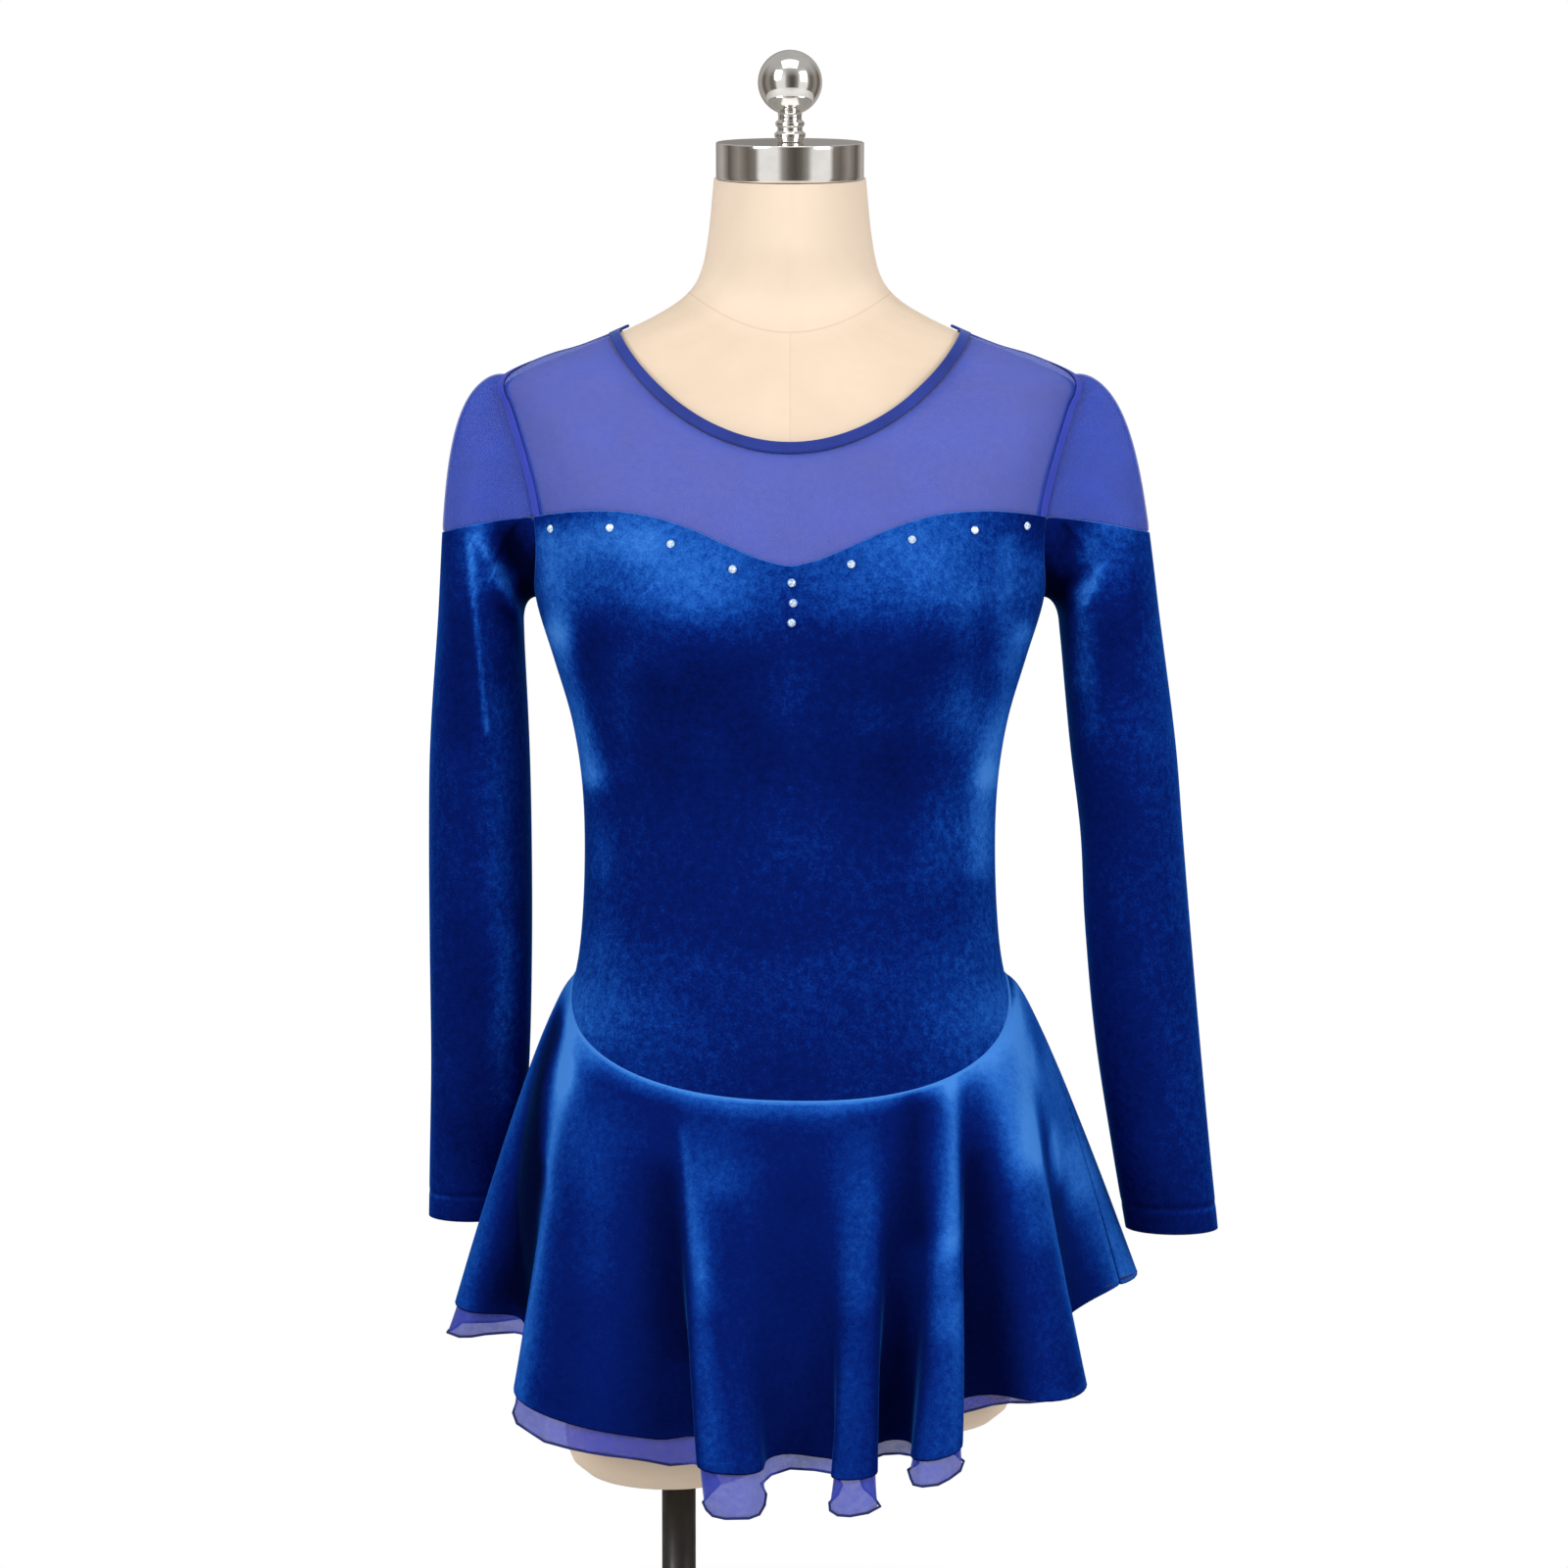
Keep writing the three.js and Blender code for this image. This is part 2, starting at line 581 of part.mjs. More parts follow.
// ---- Sleeves ---------------------------------------------------------------------------------------------------
// A level section of a sleeve below the underarm; b is 0 outside, 90 in front, 180 inside.
function sleeveRing(table, z, b) {
  const x = readTable(table, "down", "x", -z);
  const half = readTable(table, "down", "half", -z);
  const y = readTable(table, "down", "y", -z);
  const deep = readTable(table, "down", "deep", -z);
  return vector(x + half * Math.cos(rad(b)), y - deep * Math.sin(rad(b)), z);
}

// The sleeve from the armhole, at share 0, to its first level section, at share 1.
function sleeveHead(table, b, share) {
  const lower = (1 - Math.cos(rad(b))) / 2;
  const from = armholePoint(b, -SEAM / 2 - UNDERARM_GAP * lower ** 2, SLEEVE_START);
  const to = sleeveRing(table, SLEEVE_JOIN, b);
  const outer = (1 + Math.cos(rad(b))) / 2;
  const leave = vector(lerp(CAP_LIFT.least, CAP_LIFT.most, outer), 0, CAP_LIFT.up * outer ** 2);
  const fall = lerp(CAP_FALL.least, CAP_FALL.most, outer);
  const arrive = sleeveRing(table, SLEEVE_JOIN - 1, b).sub(to).multiplyScalar(fall);
  const [s, s2, s3] = [share, share ** 2, share ** 3];
  const point = vector(0, 0, 0)
    .addScaledVector(from, 2 * s3 - 3 * s2 + 1)
    .addScaledVector(leave, s3 - 2 * s2 + s)
    .addScaledVector(to, 3 * s2 - 2 * s3)
    .addScaledVector(arrive, s3 - s2);
  const across = (Math.abs(b) - UNDERARM_FOLD.at) / UNDERARM_FOLD.wide;
  const along = (share - UNDERARM_FOLD.down) / UNDERARM_FOLD.long;
  point.y += Math.sign(b) * UNDERARM_FOLD.deep * Math.exp(-(across ** 2) - along ** 2);
  return point;
}

// The share of the way down the sleeve head at which the net ends.
function netEnd(table, b) {
  const turned = (1 - Math.cos(rad(b))) / (1 - Math.cos(rad(YOKE_CORNER)));
  const z = lerp(SLEEVE_NET_EDGE.outer, SLEEVE_NET_EDGE.corner, turned);
  let [low, high] = [0, 1];
  for (const _ of count(24)) {
    const middle = (low + high) / 2;
    if (sleeveHead(table, b, middle).z > z) low = middle;
    else high = middle;
  }
  return low;
}

function buildSleeve(side, rows) {
  const name = side < 0 ? "left" : "right";
  const table = rows.map((row) => ({ ...row, down: -row.z }));
  const mirror = (grid) => grid.map((row) => row.map((p) => vector(side * p.x, p.y, p.z)));
  // Columns go anticlockwise seen from above, so they run the other way on the mirrored side.
  const turned = (list) => (side > 0 ? list : [...list].reverse());
  const wall = (grid, thick, closed) => {
    const outer = mirror(grid);
    return shell(outer, offsetGrid(outer, gridNormals(outer, closed), -thick), closed);
  };
  const front = SLEEVE_ANGLES.slice(1, -1);
  const around = turned([...SLEEVE_ANGLES.toReversed(), ...front.map((b) => -b)]);
  const end = Object.fromEntries(around.map((b) => [b, Math.abs(b) < YOKE_CORNER ? netEnd(table, b) : 0]));
  const apart = SEAM / 2 / HEAD_LENGTH;

  const tubeZ = rows.slice(1).map((row) => row.z).toReversed();
  const tube = tubeZ.map((z) => around.map((b) => sleeveRing(table, z, b)));
  const head = SLEEVE_SHARES.map((share) =>
    around.map((b) => sleeveHead(table, b, lerp(end[b] + (end[b] > 0 ? apart : 0), 1, share))),
  );
  add(dress, `sleeve_${name}`, wall([...tube, ...head], VELVET, true), velvet);

  const capRows = CAP_SHARES.map((share) =>
    turned(CAP_ANGLES).map((b) => sleeveHead(table, b, share * (netEnd(table, b) - apart))),
  );
  add(dress, `sleeve_cap_${name}`, wall(capRows, NET, false), net);
}

// ---- Skirt -------------------------------------------------------------------------------------------------------
// The fold at an angle, at share t of the cloth's length: how far the cloth reaches out and sideways, and
// the longer way that it takes, which lifts its hem.
function foldAt(angle, t) {
  const i = clamp(FOLDS.findIndex((fold) => fold.at > angle), 1, FOLDS.length - 1);
  const [a, b] = [FOLDS[i - 1], FOLDS[i]];
  const q = (angle - a.at) / (b.at - a.at);
  const [crest, valley] = a.out > b.out ? [a, b] : [b, a];
  const fromCrest = a === crest ? q : 1 - q;
  const toSide = Math.sin(rad(angle)) ** 2;
  const flare = lerp(FLARE.front, FLARE.side, toSide);
  const start = lerp(FLARE.start, angle > 0 ? FLARE.rightStart : FLARE.leftStart, toSide);
  const reachOf = (out) => flare * t ** start + (out - flare) * t ** FLARE.deepen;
  const high = reachOf(crest.out);
  const low = reachOf(valley.out);
  const crestShare = (1 + Math.cos(Math.PI * fromCrest)) / 2;
  const reach = lerp(low, high, crestShare);
  const towardsValley = a === crest ? 1 : -1;
  const curl = SKIRT.curl * (high - low) * t * Math.sin(2 * Math.PI * fromCrest) * towardsValley;
  const sideways = curl + crest.lean * crestShare * t * t;
  const way = high * (1 + SKIRT.valleyLift * (1 - crestShare));
  return { reach, sideways, way };
}

const NEAR_BODY = 1.2; // as shares of the section's size: within this a point is eased outwards
const EASING = 0.02;

// Keeps a point at least margin outside the body's section at its own height.
function clearOfBody(point, margin) {
  const s = section(point.z);
  const depth = (point.y < 0 ? s.front : s.back) + margin;
  const share =
    ((Math.abs(point.x) / (s.half + margin)) ** s.square + (Math.abs(point.y) / depth) ** s.square) **
    (1 / s.square);
  const near = share - 1;
  const kept = share < NEAR_BODY ? (share + 1 + Math.hypot(near, EASING)) / 2 : share;
  point.x *= kept / share;
  point.y *= kept / share;
  return point;
}

const FALL_STEP = 1 / 40;

// A point of the skirt's outer face. t is 0 at the joint with the bodice and 1 at the velvet's hem.
function skirtPoint(angle, t) {
  const seamZ = skirtSeamZ(angle) - SEAM / 2;
  const start = onBody(angle, seamZ, EASE + BRIEFS + 2 * SEAM + VELVET);
  const normal = bodyNormal(angle, seamZ).setZ(0).normalize();
  const along = vector(-normal.y, normal.x, 0);
  const stepLength = SKIRT.length * FALL_STEP;
  let [fallen, before, u] = [0, 0, 0];
  while (u < t - 1e-9) {
    const stride = Math.min(FALL_STEP, t - u);
    u += stride;
    const way = foldAt(angle, u).way;
    const path = stepLength * (stride / FALL_STEP);
    fallen += Math.sqrt(Math.max((0.25 * path) ** 2, path ** 2 - (way - before) ** 2));
    before = way;
  }
  const fold = foldAt(angle, t);
  const point = start.addScaledVector(normal, fold.reach).addScaledVector(along, fold.sideways);
  point.z -= fallen;
  return t > 0 ? clearOfBody(point, SKIRT.clear) : point;
}

function skirtNormal(angle, t) {
  const round = skirtPoint(wrap(angle + 1), t).sub(skirtPoint(wrap(angle - 1), t));
  const up = skirtPoint(wrap(angle), Math.max(t - 0.03, 0)).sub(skirtPoint(wrap(angle), t + 0.03));
  return round.cross(up).normalize();
}

// Column angles: even steps between the folds' turning points, from one side seam to the other.
function skirtColumns(from, to) {
  const inside = [];
  for (let i = 1; i < FOLDS.length; i++) {
    for (const k of count(SKIRT.stepsPerFold)) {
      inside.push(lerp(FOLDS[i - 1].at, FOLDS[i].at, k / SKIRT.stepsPerFold));
    }
  }
  const wrapped = inside.flatMap((angle) => [angle, angle + 360]);
  const between = wrapped.filter((angle) => angle > from + 1.5 && angle < to - 1.5);
  return [from, ...between.sort((a, b) => a - b), to];
}

const wrap = (angle) => ((angle + 540) % 360) - 180;

function buildSkirt(name, from, to) {
  const columns = skirtColumns(from + SIDE_GAP, to - SIDE_GAP);
  const rows = SKIRT_ROWS.toReversed();
  const length = (angle) => 1 + readTable(HEM, "at", "more", wrap(angle)) / SKIRT.length;
  const grid = rows.map((t) => columns.map((angle) => skirtPoint(wrap(angle), t * length(angle))));
  const normals = rows.map((t) => columns.map((angle) => skirtNormal(angle, t)));
  const inner = offsetGrid(grid, normals, -VELVET);
  add(dress, `skirt_${name}`, shell(grid, inner, false), velvet);

  const hem = columns.map((angle) => {
    const drop = readTable(UNDERSKIRT_DROP, "at", "drop", wrap(angle));
    return skirtPoint(wrap(angle), length(angle) + drop / SKIRT.length);
  });
  const long = [hem, ...grid.slice(0, -1)];
  const longNormals = [normals[0], ...normals.slice(0, -1)];
  const outside = offsetGrid(long, longNormals, -VELVET - UNDERSKIRT_GAP);
  const inside = offsetGrid(outside, longNormals, -CHIFFON);
  add(dress, `underskirt_${name}`, shell(outside, inside, false), chiffon);
}

// ---- Crystals ------------------------------------------------------------------------------------------------------
function buildCrystals() {
  const z0 = CRYSTAL.height / 2 + SEAM;
  for (const stone of CRYSTALS) {
    const z = readTable(SWEETHEART, "x", "z", Math.abs(stone.x)) - stone.below;
    const angle = angleAtWidth(stone.x, z);
    const normal = bodyNormal(angle, z);
    const geometry = new THREE.CylinderGeometry(CRYSTAL.top, CRYSTAL.radius, CRYSTAL.height, CRYSTAL.sides);
    const mesh = add(dress, `crystal_${stone.name}`, geometry, crystal);
    mesh.position.copy(onBody(angle, z, EASE + VELVET + z0));
    mesh.quaternion.setFromUnitVectors(vector(0, 1, 0), normal);
  }
}

// ---- Dress form --------------------------------------------------------------------------------------------------------
const FORM_AROUND = steps(0, 360, 36).slice(0, -1);
const FORM_HEIGHTS = [
  392, 415, 440, 470, 500, 530, 560, 590, 618, 655, 692, 730, 762, 786, 804, 822, 842, 862, 884, 910, 935,
  955, 966, 974, 980, 985, 990, 997, 1004, 1012, 1020, 1030, 1042, 1062, 1082, NECK.top,
];

function torsoGeometry() {
  const level = (z, scale = 1, dropped = z) =>
    FORM_AROUND.map((angle) => {
      const p = bareBody(angle, z);
      return vector(p.x * scale, p.y * scale, p.z - z + dropped);
    });
  const foot = TORSO_FOOT.map((row) => level(CROTCH, row.scale, CROTCH - row.below));
  return ringSolid([...foot, ...FORM_HEIGHTS.map((z) => level(z))]);
}

function thighGeometry(end) {
  const level = (z, scale) =>
    steps(0, 360, 28)
      .slice(0, -1)
      .map((a) =>
        vector(
          end.x + end.half * scale * Math.sin(rad(a)),
          end.y - end.depth * scale * Math.cos(rad(a)),
          z,
        ),
      );
  const rings = THIGH_FOOT.map((row) => level(end.bottom + row.up, row.scale));
  return ringSolid([...rings, level(THIGH_TOP, 1)]);
}

function lathe(profile, segments = 24) {
  const points = profile.map(([radius, height]) => new THREE.Vector2(radius, height));
  return new THREE.LatheGeometry(points, segments).rotateX(Math.PI / 2);
}

function sphereProfile(radius, from, n) {
  return steps(from, 180, n).map((a) => [radius * Math.sin(rad(a)), -radius * Math.cos(rad(a))]);
}

function buildForm() {
  const thighs = THIGH_ENDS.map((end) => toManifold(thighGeometry(end)));
  const torso = thighs.reduce((solid, thigh) => solid.add(thigh), toManifold(torsoGeometry()));
  add(form, "form_torso", fromManifold(torso), formCloth);

  // The cap and finial share the neck's leaning axis.
  const top = section(NECK.top);
  const neckAxis = new THREE.Group();
  neckAxis.position.set(0, (top.back - top.front) / 2, NECK.top);
  neckAxis.rotation.x = rad(NECK.tilt);
  form.add(neckAxis);

  const capTop = SEAM + CAP.height;
  const capProfile = [
    [0, SEAM],
    [CAP.radius - CAP.edge, SEAM],
    [CAP.radius, SEAM + CAP.edge],
    [CAP.radius, capTop - CAP.edge],
    [CAP.radius - CAP.edge, capTop],
    [0, capTop],
  ];
  add(neckAxis, "neck_cap", lathe(capProfile, 36), chrome);

  const stemFoot = capTop + SEAM;
  const ball = sphereProfile(BALL.radius, BALL.from, 9).map(([radius, up]) => [radius, up + BALL.above]);
  const finialProfile = [...STEM, ...ball].map(([radius, up]) => [radius, stemFoot + up]);
  add(neckAxis, "finial", lathe(finialProfile), chrome);
}

function buildStand() {
  const baseProfile = [
    [0, 0],
    [BASE.radius - BASE.foot, 0],
    [BASE.radius, BASE.foot],
    [BASE.radius, BASE.height - BASE.bevel],
    [BASE.radius - BASE.bevel, BASE.height],
    [0, BASE.height],
  ];
  add(form, "stand_base", lathe(baseProfile, 48), blackSteel);

  const foot = BASE.height + SEAM;
  const collarProfile = [
    [POLE.radius + SEAM, foot],
    [COLLAR.radius, foot],
    [COLLAR.radius, foot + COLLAR.flange],
    [POLE.radius + COLLAR.wall, foot + COLLAR.fillet],
    [POLE.radius + COLLAR.wall - COLLAR.taper, foot + COLLAR.height],
    [POLE.radius + SEAM, foot + COLLAR.height],
    [POLE.radius + SEAM, foot],
  ];
  const collar = add(form, "pole_collar", lathe(collarProfile), blackSteel);
  collar.position.set(POLE.x, POLE.y, 0);

  const poleTop = THIGH_ENDS[0].bottom - SEAM;
  const pole = new THREE.CylinderGeometry(POLE.radius, POLE.radius, poleTop - foot, 24);
  const mesh = add(form, "pole", pole.rotateX(Math.PI / 2), blackSteel);
  mesh.position.set(POLE.x, POLE.y, (poleTop + foot) / 2);
}

// ---- Assembly --------------------------------------------------------------------------------------------------------------
add(dress, "bodice_front", bodyPanel(bodiceRows(false), VELVET), velvet);
add(dress, "bodice_back", bodyPanel(bodiceRows(true), VELVET), velvet);
add(dress, "yoke_front", bodyPanel(yokeRows(false), NET), net);
add(dress, "yoke_back", bodyPanel(yokeRows(true), NET), net);
add(dress, "neck_binding", bindingGeometry(), binding);
add(dress, "briefs_front", bodyPanel(briefsRows(false), BRIEFS), briefs);
add(dress, "briefs_back", bodyPanel(briefsRows(true), BRIEFS), briefs);
buildSleeve(-1, SLEEVES.left);
buildSleeve(1, SLEEVES.right);
buildSkirt("front", -90, 90);
buildSkirt("back", 90, 270);
buildCrystals();
buildForm();
buildStand();

const root = new THREE.Group();
root.add(dress, form);
export default root;
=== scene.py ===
"""A long-sleeved figure skating dress in velvet, net and chiffon, worn by a limbless dress form.

Shapes are worked out in millimetres and built in metres. The front faces -Y.
Angles round the body are in degrees: 0 at the centre front, 90 at +X, 180 at the centre back.
"""

import json
import math

import bmesh
import bpy
import numpy as np
from mathutils import Matrix, Vector

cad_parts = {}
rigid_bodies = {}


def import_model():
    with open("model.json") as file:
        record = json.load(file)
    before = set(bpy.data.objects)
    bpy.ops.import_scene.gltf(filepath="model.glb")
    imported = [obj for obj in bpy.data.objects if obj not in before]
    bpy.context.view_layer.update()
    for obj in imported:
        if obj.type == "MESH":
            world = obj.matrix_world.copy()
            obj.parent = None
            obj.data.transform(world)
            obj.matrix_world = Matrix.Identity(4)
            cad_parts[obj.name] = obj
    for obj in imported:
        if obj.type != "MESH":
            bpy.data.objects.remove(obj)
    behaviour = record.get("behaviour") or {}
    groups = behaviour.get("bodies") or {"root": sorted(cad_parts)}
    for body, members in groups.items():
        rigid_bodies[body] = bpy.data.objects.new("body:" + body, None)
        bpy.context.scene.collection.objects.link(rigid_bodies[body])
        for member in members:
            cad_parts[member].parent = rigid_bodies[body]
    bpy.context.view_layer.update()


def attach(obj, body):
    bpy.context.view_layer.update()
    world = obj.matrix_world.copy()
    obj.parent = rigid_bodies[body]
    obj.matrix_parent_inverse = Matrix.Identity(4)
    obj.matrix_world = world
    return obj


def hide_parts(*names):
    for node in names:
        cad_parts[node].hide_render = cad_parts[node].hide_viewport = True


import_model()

MM = 0.001

# ---- Body and dress, in millimetres ----
# The cloths' walls, the gap at a seam, and how far an edge runs on behind the piece that it is sewn to.
VELVET, NET, CHIFFON, KNIT = 1.4, 0.8, 0.6, 1.0
SEAM = 0.3
TUCK = 4.0
# Level sections of the form: height, half width, depth in front, depth behind, squareness.
SECTIONS = np.array([
    (300, 132, 66, 84, 2.2),
    (392, 149, 78, 100, 2.2),
    (440, 158, 87, 110, 2.3),
    (490, 160, 93, 113, 2.3),
    (540, 152, 97, 107, 2.3),
    (580, 141, 98, 96, 2.3),
    (618, 128.5, 94, 83, 2.3),
    (650, 124, 89, 75, 2.3),
    (700, 122.2, 84, 71, 2.3),
    (740, 124, 84, 75, 2.3),
    (777, 130, 87, 82, 2.3),
    (813, 140.5, 90, 89, 2.4),
    (850, 151.5, 91, 94, 2.5),
    (900, 158, 86, 95, 2.6),
    (940, 166, 75, 90, 2.5),
    (966, 172, 66, 84, 2.2),
    (979, 173, 61, 80, 2.0),
    (990, 153, 57, 76, 2.0),
    (1000, 128, 54, 72, 2.0),
    (1010, 103, 52, 68, 2.0),
    (1020, 82, 51, 63, 2.0),
    (1030, 66, 51, 58, 2.0),
    (1042, 56, 53, 53, 2.0),
    (1062, 50.4, 57, 45, 2.0),
    (1101.3, 46, 59.5, 35.5, 2.0),
])
# How far each breast stands out, where, and how wide and tall it is.
BUST_OUT, BUST_X, BUST_Z, BUST_WIDE, BUST_TALL = 19, 70, 822, 40, 37
NECK_TILT = math.radians(8)
NECK_FROM, NECK_TOP = 1030, 1101.3
# The thigh stumps: how far across and back, and the height of the cut end. Their tops are in the torso.
THIGHS = {"left": (-74, 8, 307), "right": (74, 8, 340)}
THIGH_HALF, THIGH_DEEP, THIGH_TOP = 66, 80, 420
CROTCH = 392
NECK_SEAM_Z, NECK_SEAM_RISE = 1008, 6.8
# The neck cap's height, and the finial's ball and how high its middle is over the cap.
CAP_TALL, BALL_RADIUS, BALL_UP = 22, 19.3, 35.1

# Air between form and cloth, less of it on the shoulders and more at their tips.
EASE, SHOULDER_EASE = 2.0, 0.8
TIP_MORE, TIP_Z, TIP_TALL = 1.5, 981, 13
SIDE_SEAM_Z = 618
FRONT_DIP, BACK_DIP, LOW_AT = 64, 28, 3
ARM_Y, ARM_Z, ARM_TALL, ARM_DEEP, ARM_EGG = 5, 915.5, 66.5, 36, 20
# Where the net's lower corner lies on the armhole, in degrees from the shoulder.
YOKE_CORNER = 105
SWEETHEART = np.array([
    (0, 869), (20, 874), (40, 882.5), (60, 891.5), (86, 899.5), (115, 902), (140, 900.5), (160, 897.5),
])
BACK_TOP_SIDE, BACK_TOP_MIDDLE = 897.5, 888
NECK_HALF, NECK_Z = 103.5, 1013
NECK_DROP = {"front": (71, 1.55), "back": (30, 1.3)}
BINDING_WIDE, BINDING_THICK = 7.0, 1.9
ARM_TAPE = 7.0
LEG_SIDE, LEG_CROTCH = 505, 404

# Level sections of the sleeves: height, outward, forward, half width, depth.
SLEEVES = {
    "left": np.array([
        (461, 199, 45.5, 27.6, 29.5),
        (500, 196.3, 41, 29.1, 32.5),
        (560, 192.8, 32, 30.6, 37),
        (630, 191.3, 22, 31.6, 41),
        (700, 190.8, 16, 31.6, 45),
        (760, 190.5, 12, 30.4, 48),
        (835, 189.3, 8, 26, 53),
    ]),
    "right": np.array([
        (456.5, 238, 25.5, 28.8, 29),
        (506, 230.7, 21, 30.3, 32),
        (578, 221.2, 17, 32.3, 37),
        (650, 214.2, 13, 32.3, 42),
        (704, 210.2, 10, 31.3, 45),
        (760, 204.2, 8, 32.3, 48),
        (835, 195.5, 6, 30.8, 52),
    ]),
}
SLEEVE_JOIN = 835
NET_END_OUTER, NET_END_CORNER = 889, 898
# How strongly a sleeve head leaves the armhole and falls to its level sections, below and on top.
CAP_LIFT_LEAST, CAP_LIFT_MOST, CAP_LIFT_UP = 26, 114, 20
CAP_FALL_LEAST, CAP_FALL_MOST = 10, 160
# The hollow in the sleeve beside the underarm: depth, place round the armhole and down the head, and spread.
UNDERARM_GAP = 0.9
UNDERARM_DEEP, UNDERARM_AT, UNDERARM_WIDE, UNDERARM_DOWN, UNDERARM_LONG = 11, 116, 26, 0.4, 0.25
CUFF_STITCH = 16.5

# Turning points of the skirt's folds: angle, reach at the hem, sideways lean, and how low down each deepens.
FOLDS = np.array([
    (-180, 66, 0, 1.5), (-167, 20, 0, 1.3), (-155, 72, 5, 1.5), (-143, 18, 0, 1.1), (-131, 60, -4, 1.5),
    (-107, 24, 0, 1.2), (-91, 74, 12, 1.1), (-74, 26, 0, 0.9), (-50, 57, -3, 1.5), (-25, 24, 18, 1.3),
    (-17, 68, 22, 1.2), (2.5, 26, 4, 1.5), (13, 62, -12, 1.3), (22.5, 16, -13, 1.3), (32, 66, -24, 1.1),
    (42, 16, -14, 0.95), (54, 66, 4, 1.3), (74, 32, 0, 1.0), (101, 92, 6, 1.3), (117, 30, 0, 1.2),
    (130, 66, 5, 1.5), (142, 18, 0, 1.2), (154, 70, -6, 1.5), (167, 20, 0, 1.4), (180, 66, 0, 1.5),
])
SKIRT_LENGTH, VALLEY_LIFT, CURL = 220, 0.3, 0.16
# The skirt keeps this far off the body, from this share of its length down.
CLEAR, CLEAR_BY = 9, 0.3
SIDE_GAP = 0.04
# How far the skirt flares between its folds, and how soon.
FLARE_FRONT, FLARE_SIDE, FLARE_START, FLARE_START_LEFT, FLARE_START_RIGHT = 40, 66, 0.8, 0.78, 0.65
FLARE_SOFT = 0.02
# How much longer the velvet is cut than the length above, by angle.
HEM = np.array([
    (-180, 0), (-107, 0), (-91, -4), (-68, -3), (-50, -6), (-30, 0), (30, 0), (42, -9), (53, -8),
    (66, 0), (78, 12), (88, 3), (101, -14), (117, -4), (130, 0), (180, 0),
])
UNDERSKIRT_GAP = 0.6
# How far each of the skirt's upper rows is drawn in, in millimetres.
JOINT_TUCK = (1.4, 1.3, 1.1, 0.75, 0.3)
JOINT_LAP = 0.8
# How much painted shade darkens the skirt's velvet in a valley against a crest, and how much painted
# highlight lightens the joint's two top rows.
VALLEY_SHADE = 0.16
JOINT_PAINTED_HIGHLIGHT = (0.7, 0.3)
# How far the chiffon hangs below the velvet, by angle.
UNDERSKIRT_DROP = np.array([
    (-180, 16), (-116, 14), (-92, 17), (-68, 8), (-50, 14), (-30, 14), (-17, 25), (2.5, 9), (13, 20),
    (22.5, 9), (32, 14), (42, 10), (53, -2), (101, -2), (130, 12), (180, 16),
])
# The stones: radius, radius of the flat top, height, and height of the straight rim.
STONE_RADIUS, STONE_TABLE, STONE_HEIGHT, STONE_RIM = 2.5, 1.4, 1.7, 0.5
# How far across each stone is, and how far below the sweetheart edge.
STONES = {
    "left_1": (-140, 9), "left_2": (-105, 10), "left_3": (-69.5, 13), "left_4": (-34, 12.5),
    "right_1": (36, 10.5), "right_2": (71, 11), "right_3": (107.5, 11.5), "right_4": (138.5, 7.5),
    "centre_1": (1, 9.5), "centre_2": (2, 21.5), "centre_3": (1, 32.5),
}


# ---- Small maths ----
def lerp(a, b, t):
    return a + (b - a) * t


def smooth(x):
    x = np.clip(x, 0, 1)
    return x * x * (3 - 2 * x)


def power(x, p):
    return np.sign(x) * np.abs(x) ** p


def bell(x):
    return np.exp(-(x**2))


def curve_through(xs, ys, x):
    """A smooth curve through the points (xs, ys), read at x."""
    xs, ys = np.asarray(xs, float), np.asarray(ys, float)
    x = np.clip(x, xs[0], xs[-1])
    i = np.clip(np.searchsorted(xs, x), 1, len(xs) - 1)
    slopes = np.empty(len(xs))
    slopes[1:-1] = (ys[2:] - ys[:-2]) / (xs[2:] - xs[:-2])
    slopes[0] = (ys[1] - ys[0]) / (xs[1] - xs[0])
    slopes[-1] = (ys[-1] - ys[-2]) / (xs[-1] - xs[-2])
    width = xs[i] - xs[i - 1]
    t = (x - xs[i - 1]) / width
    t2, t3 = t * t, t * t * t
    return (
        (2 * t3 - 3 * t2 + 1) * ys[i - 1]
        + (t3 - 2 * t2 + t) * width * slopes[i - 1]
        + (3 * t2 - 2 * t3) * ys[i]
        + (t3 - t2) * width * slopes[i]
    )


def unit(v):
    return v / np.maximum(np.linalg.norm(v, axis=-1, keepdims=True), 1e-9)


def grid_normals(grid, closed=False):
    """Outward normals of a grid of points, rows upwards and columns anticlockwise from above."""
    if closed:
        ring = grid[:, :-1]
        along = np.roll(ring, -1, axis=1) - np.roll(ring, 1, axis=1)
        along = np.concatenate([along, along[:, :1]], axis=1)
    else:
        along = np.gradient(grid, axis=1)
    return unit(np.cross(along, np.gradient(grid, axis=0)))


# ---- The form's surface ----
def section(z):
    return [curve_through(SECTIONS[:, 0], SECTIONS[:, k], z) for k in (1, 2, 3, 4)]


def bare_body(angle, z):
    half, front, back, square = section(z)
    across = power(np.sin(np.radians(angle)), 2 / square)
    ahead = power(np.cos(np.radians(angle)), 2 / square)
    x = half * across
    y = -np.where(ahead > 0, front, back) * ahead
    beside = bell((np.abs(x) - BUST_X) / BUST_WIDE / math.sqrt(2))
    rise = beside * bell((z - BUST_Z) / BUST_TALL / math.sqrt(2))
    y = y - BUST_OUT * rise * smooth(ahead * 1.6)
    lean = np.clip((z - NECK_FROM) / (NECK_TOP - NECK_FROM), 0, 1) * math.tan(NECK_TILT)
    middle = (back - front) / 2
    return np.stack([x, y, z + (y - middle) * lean], axis=-1)


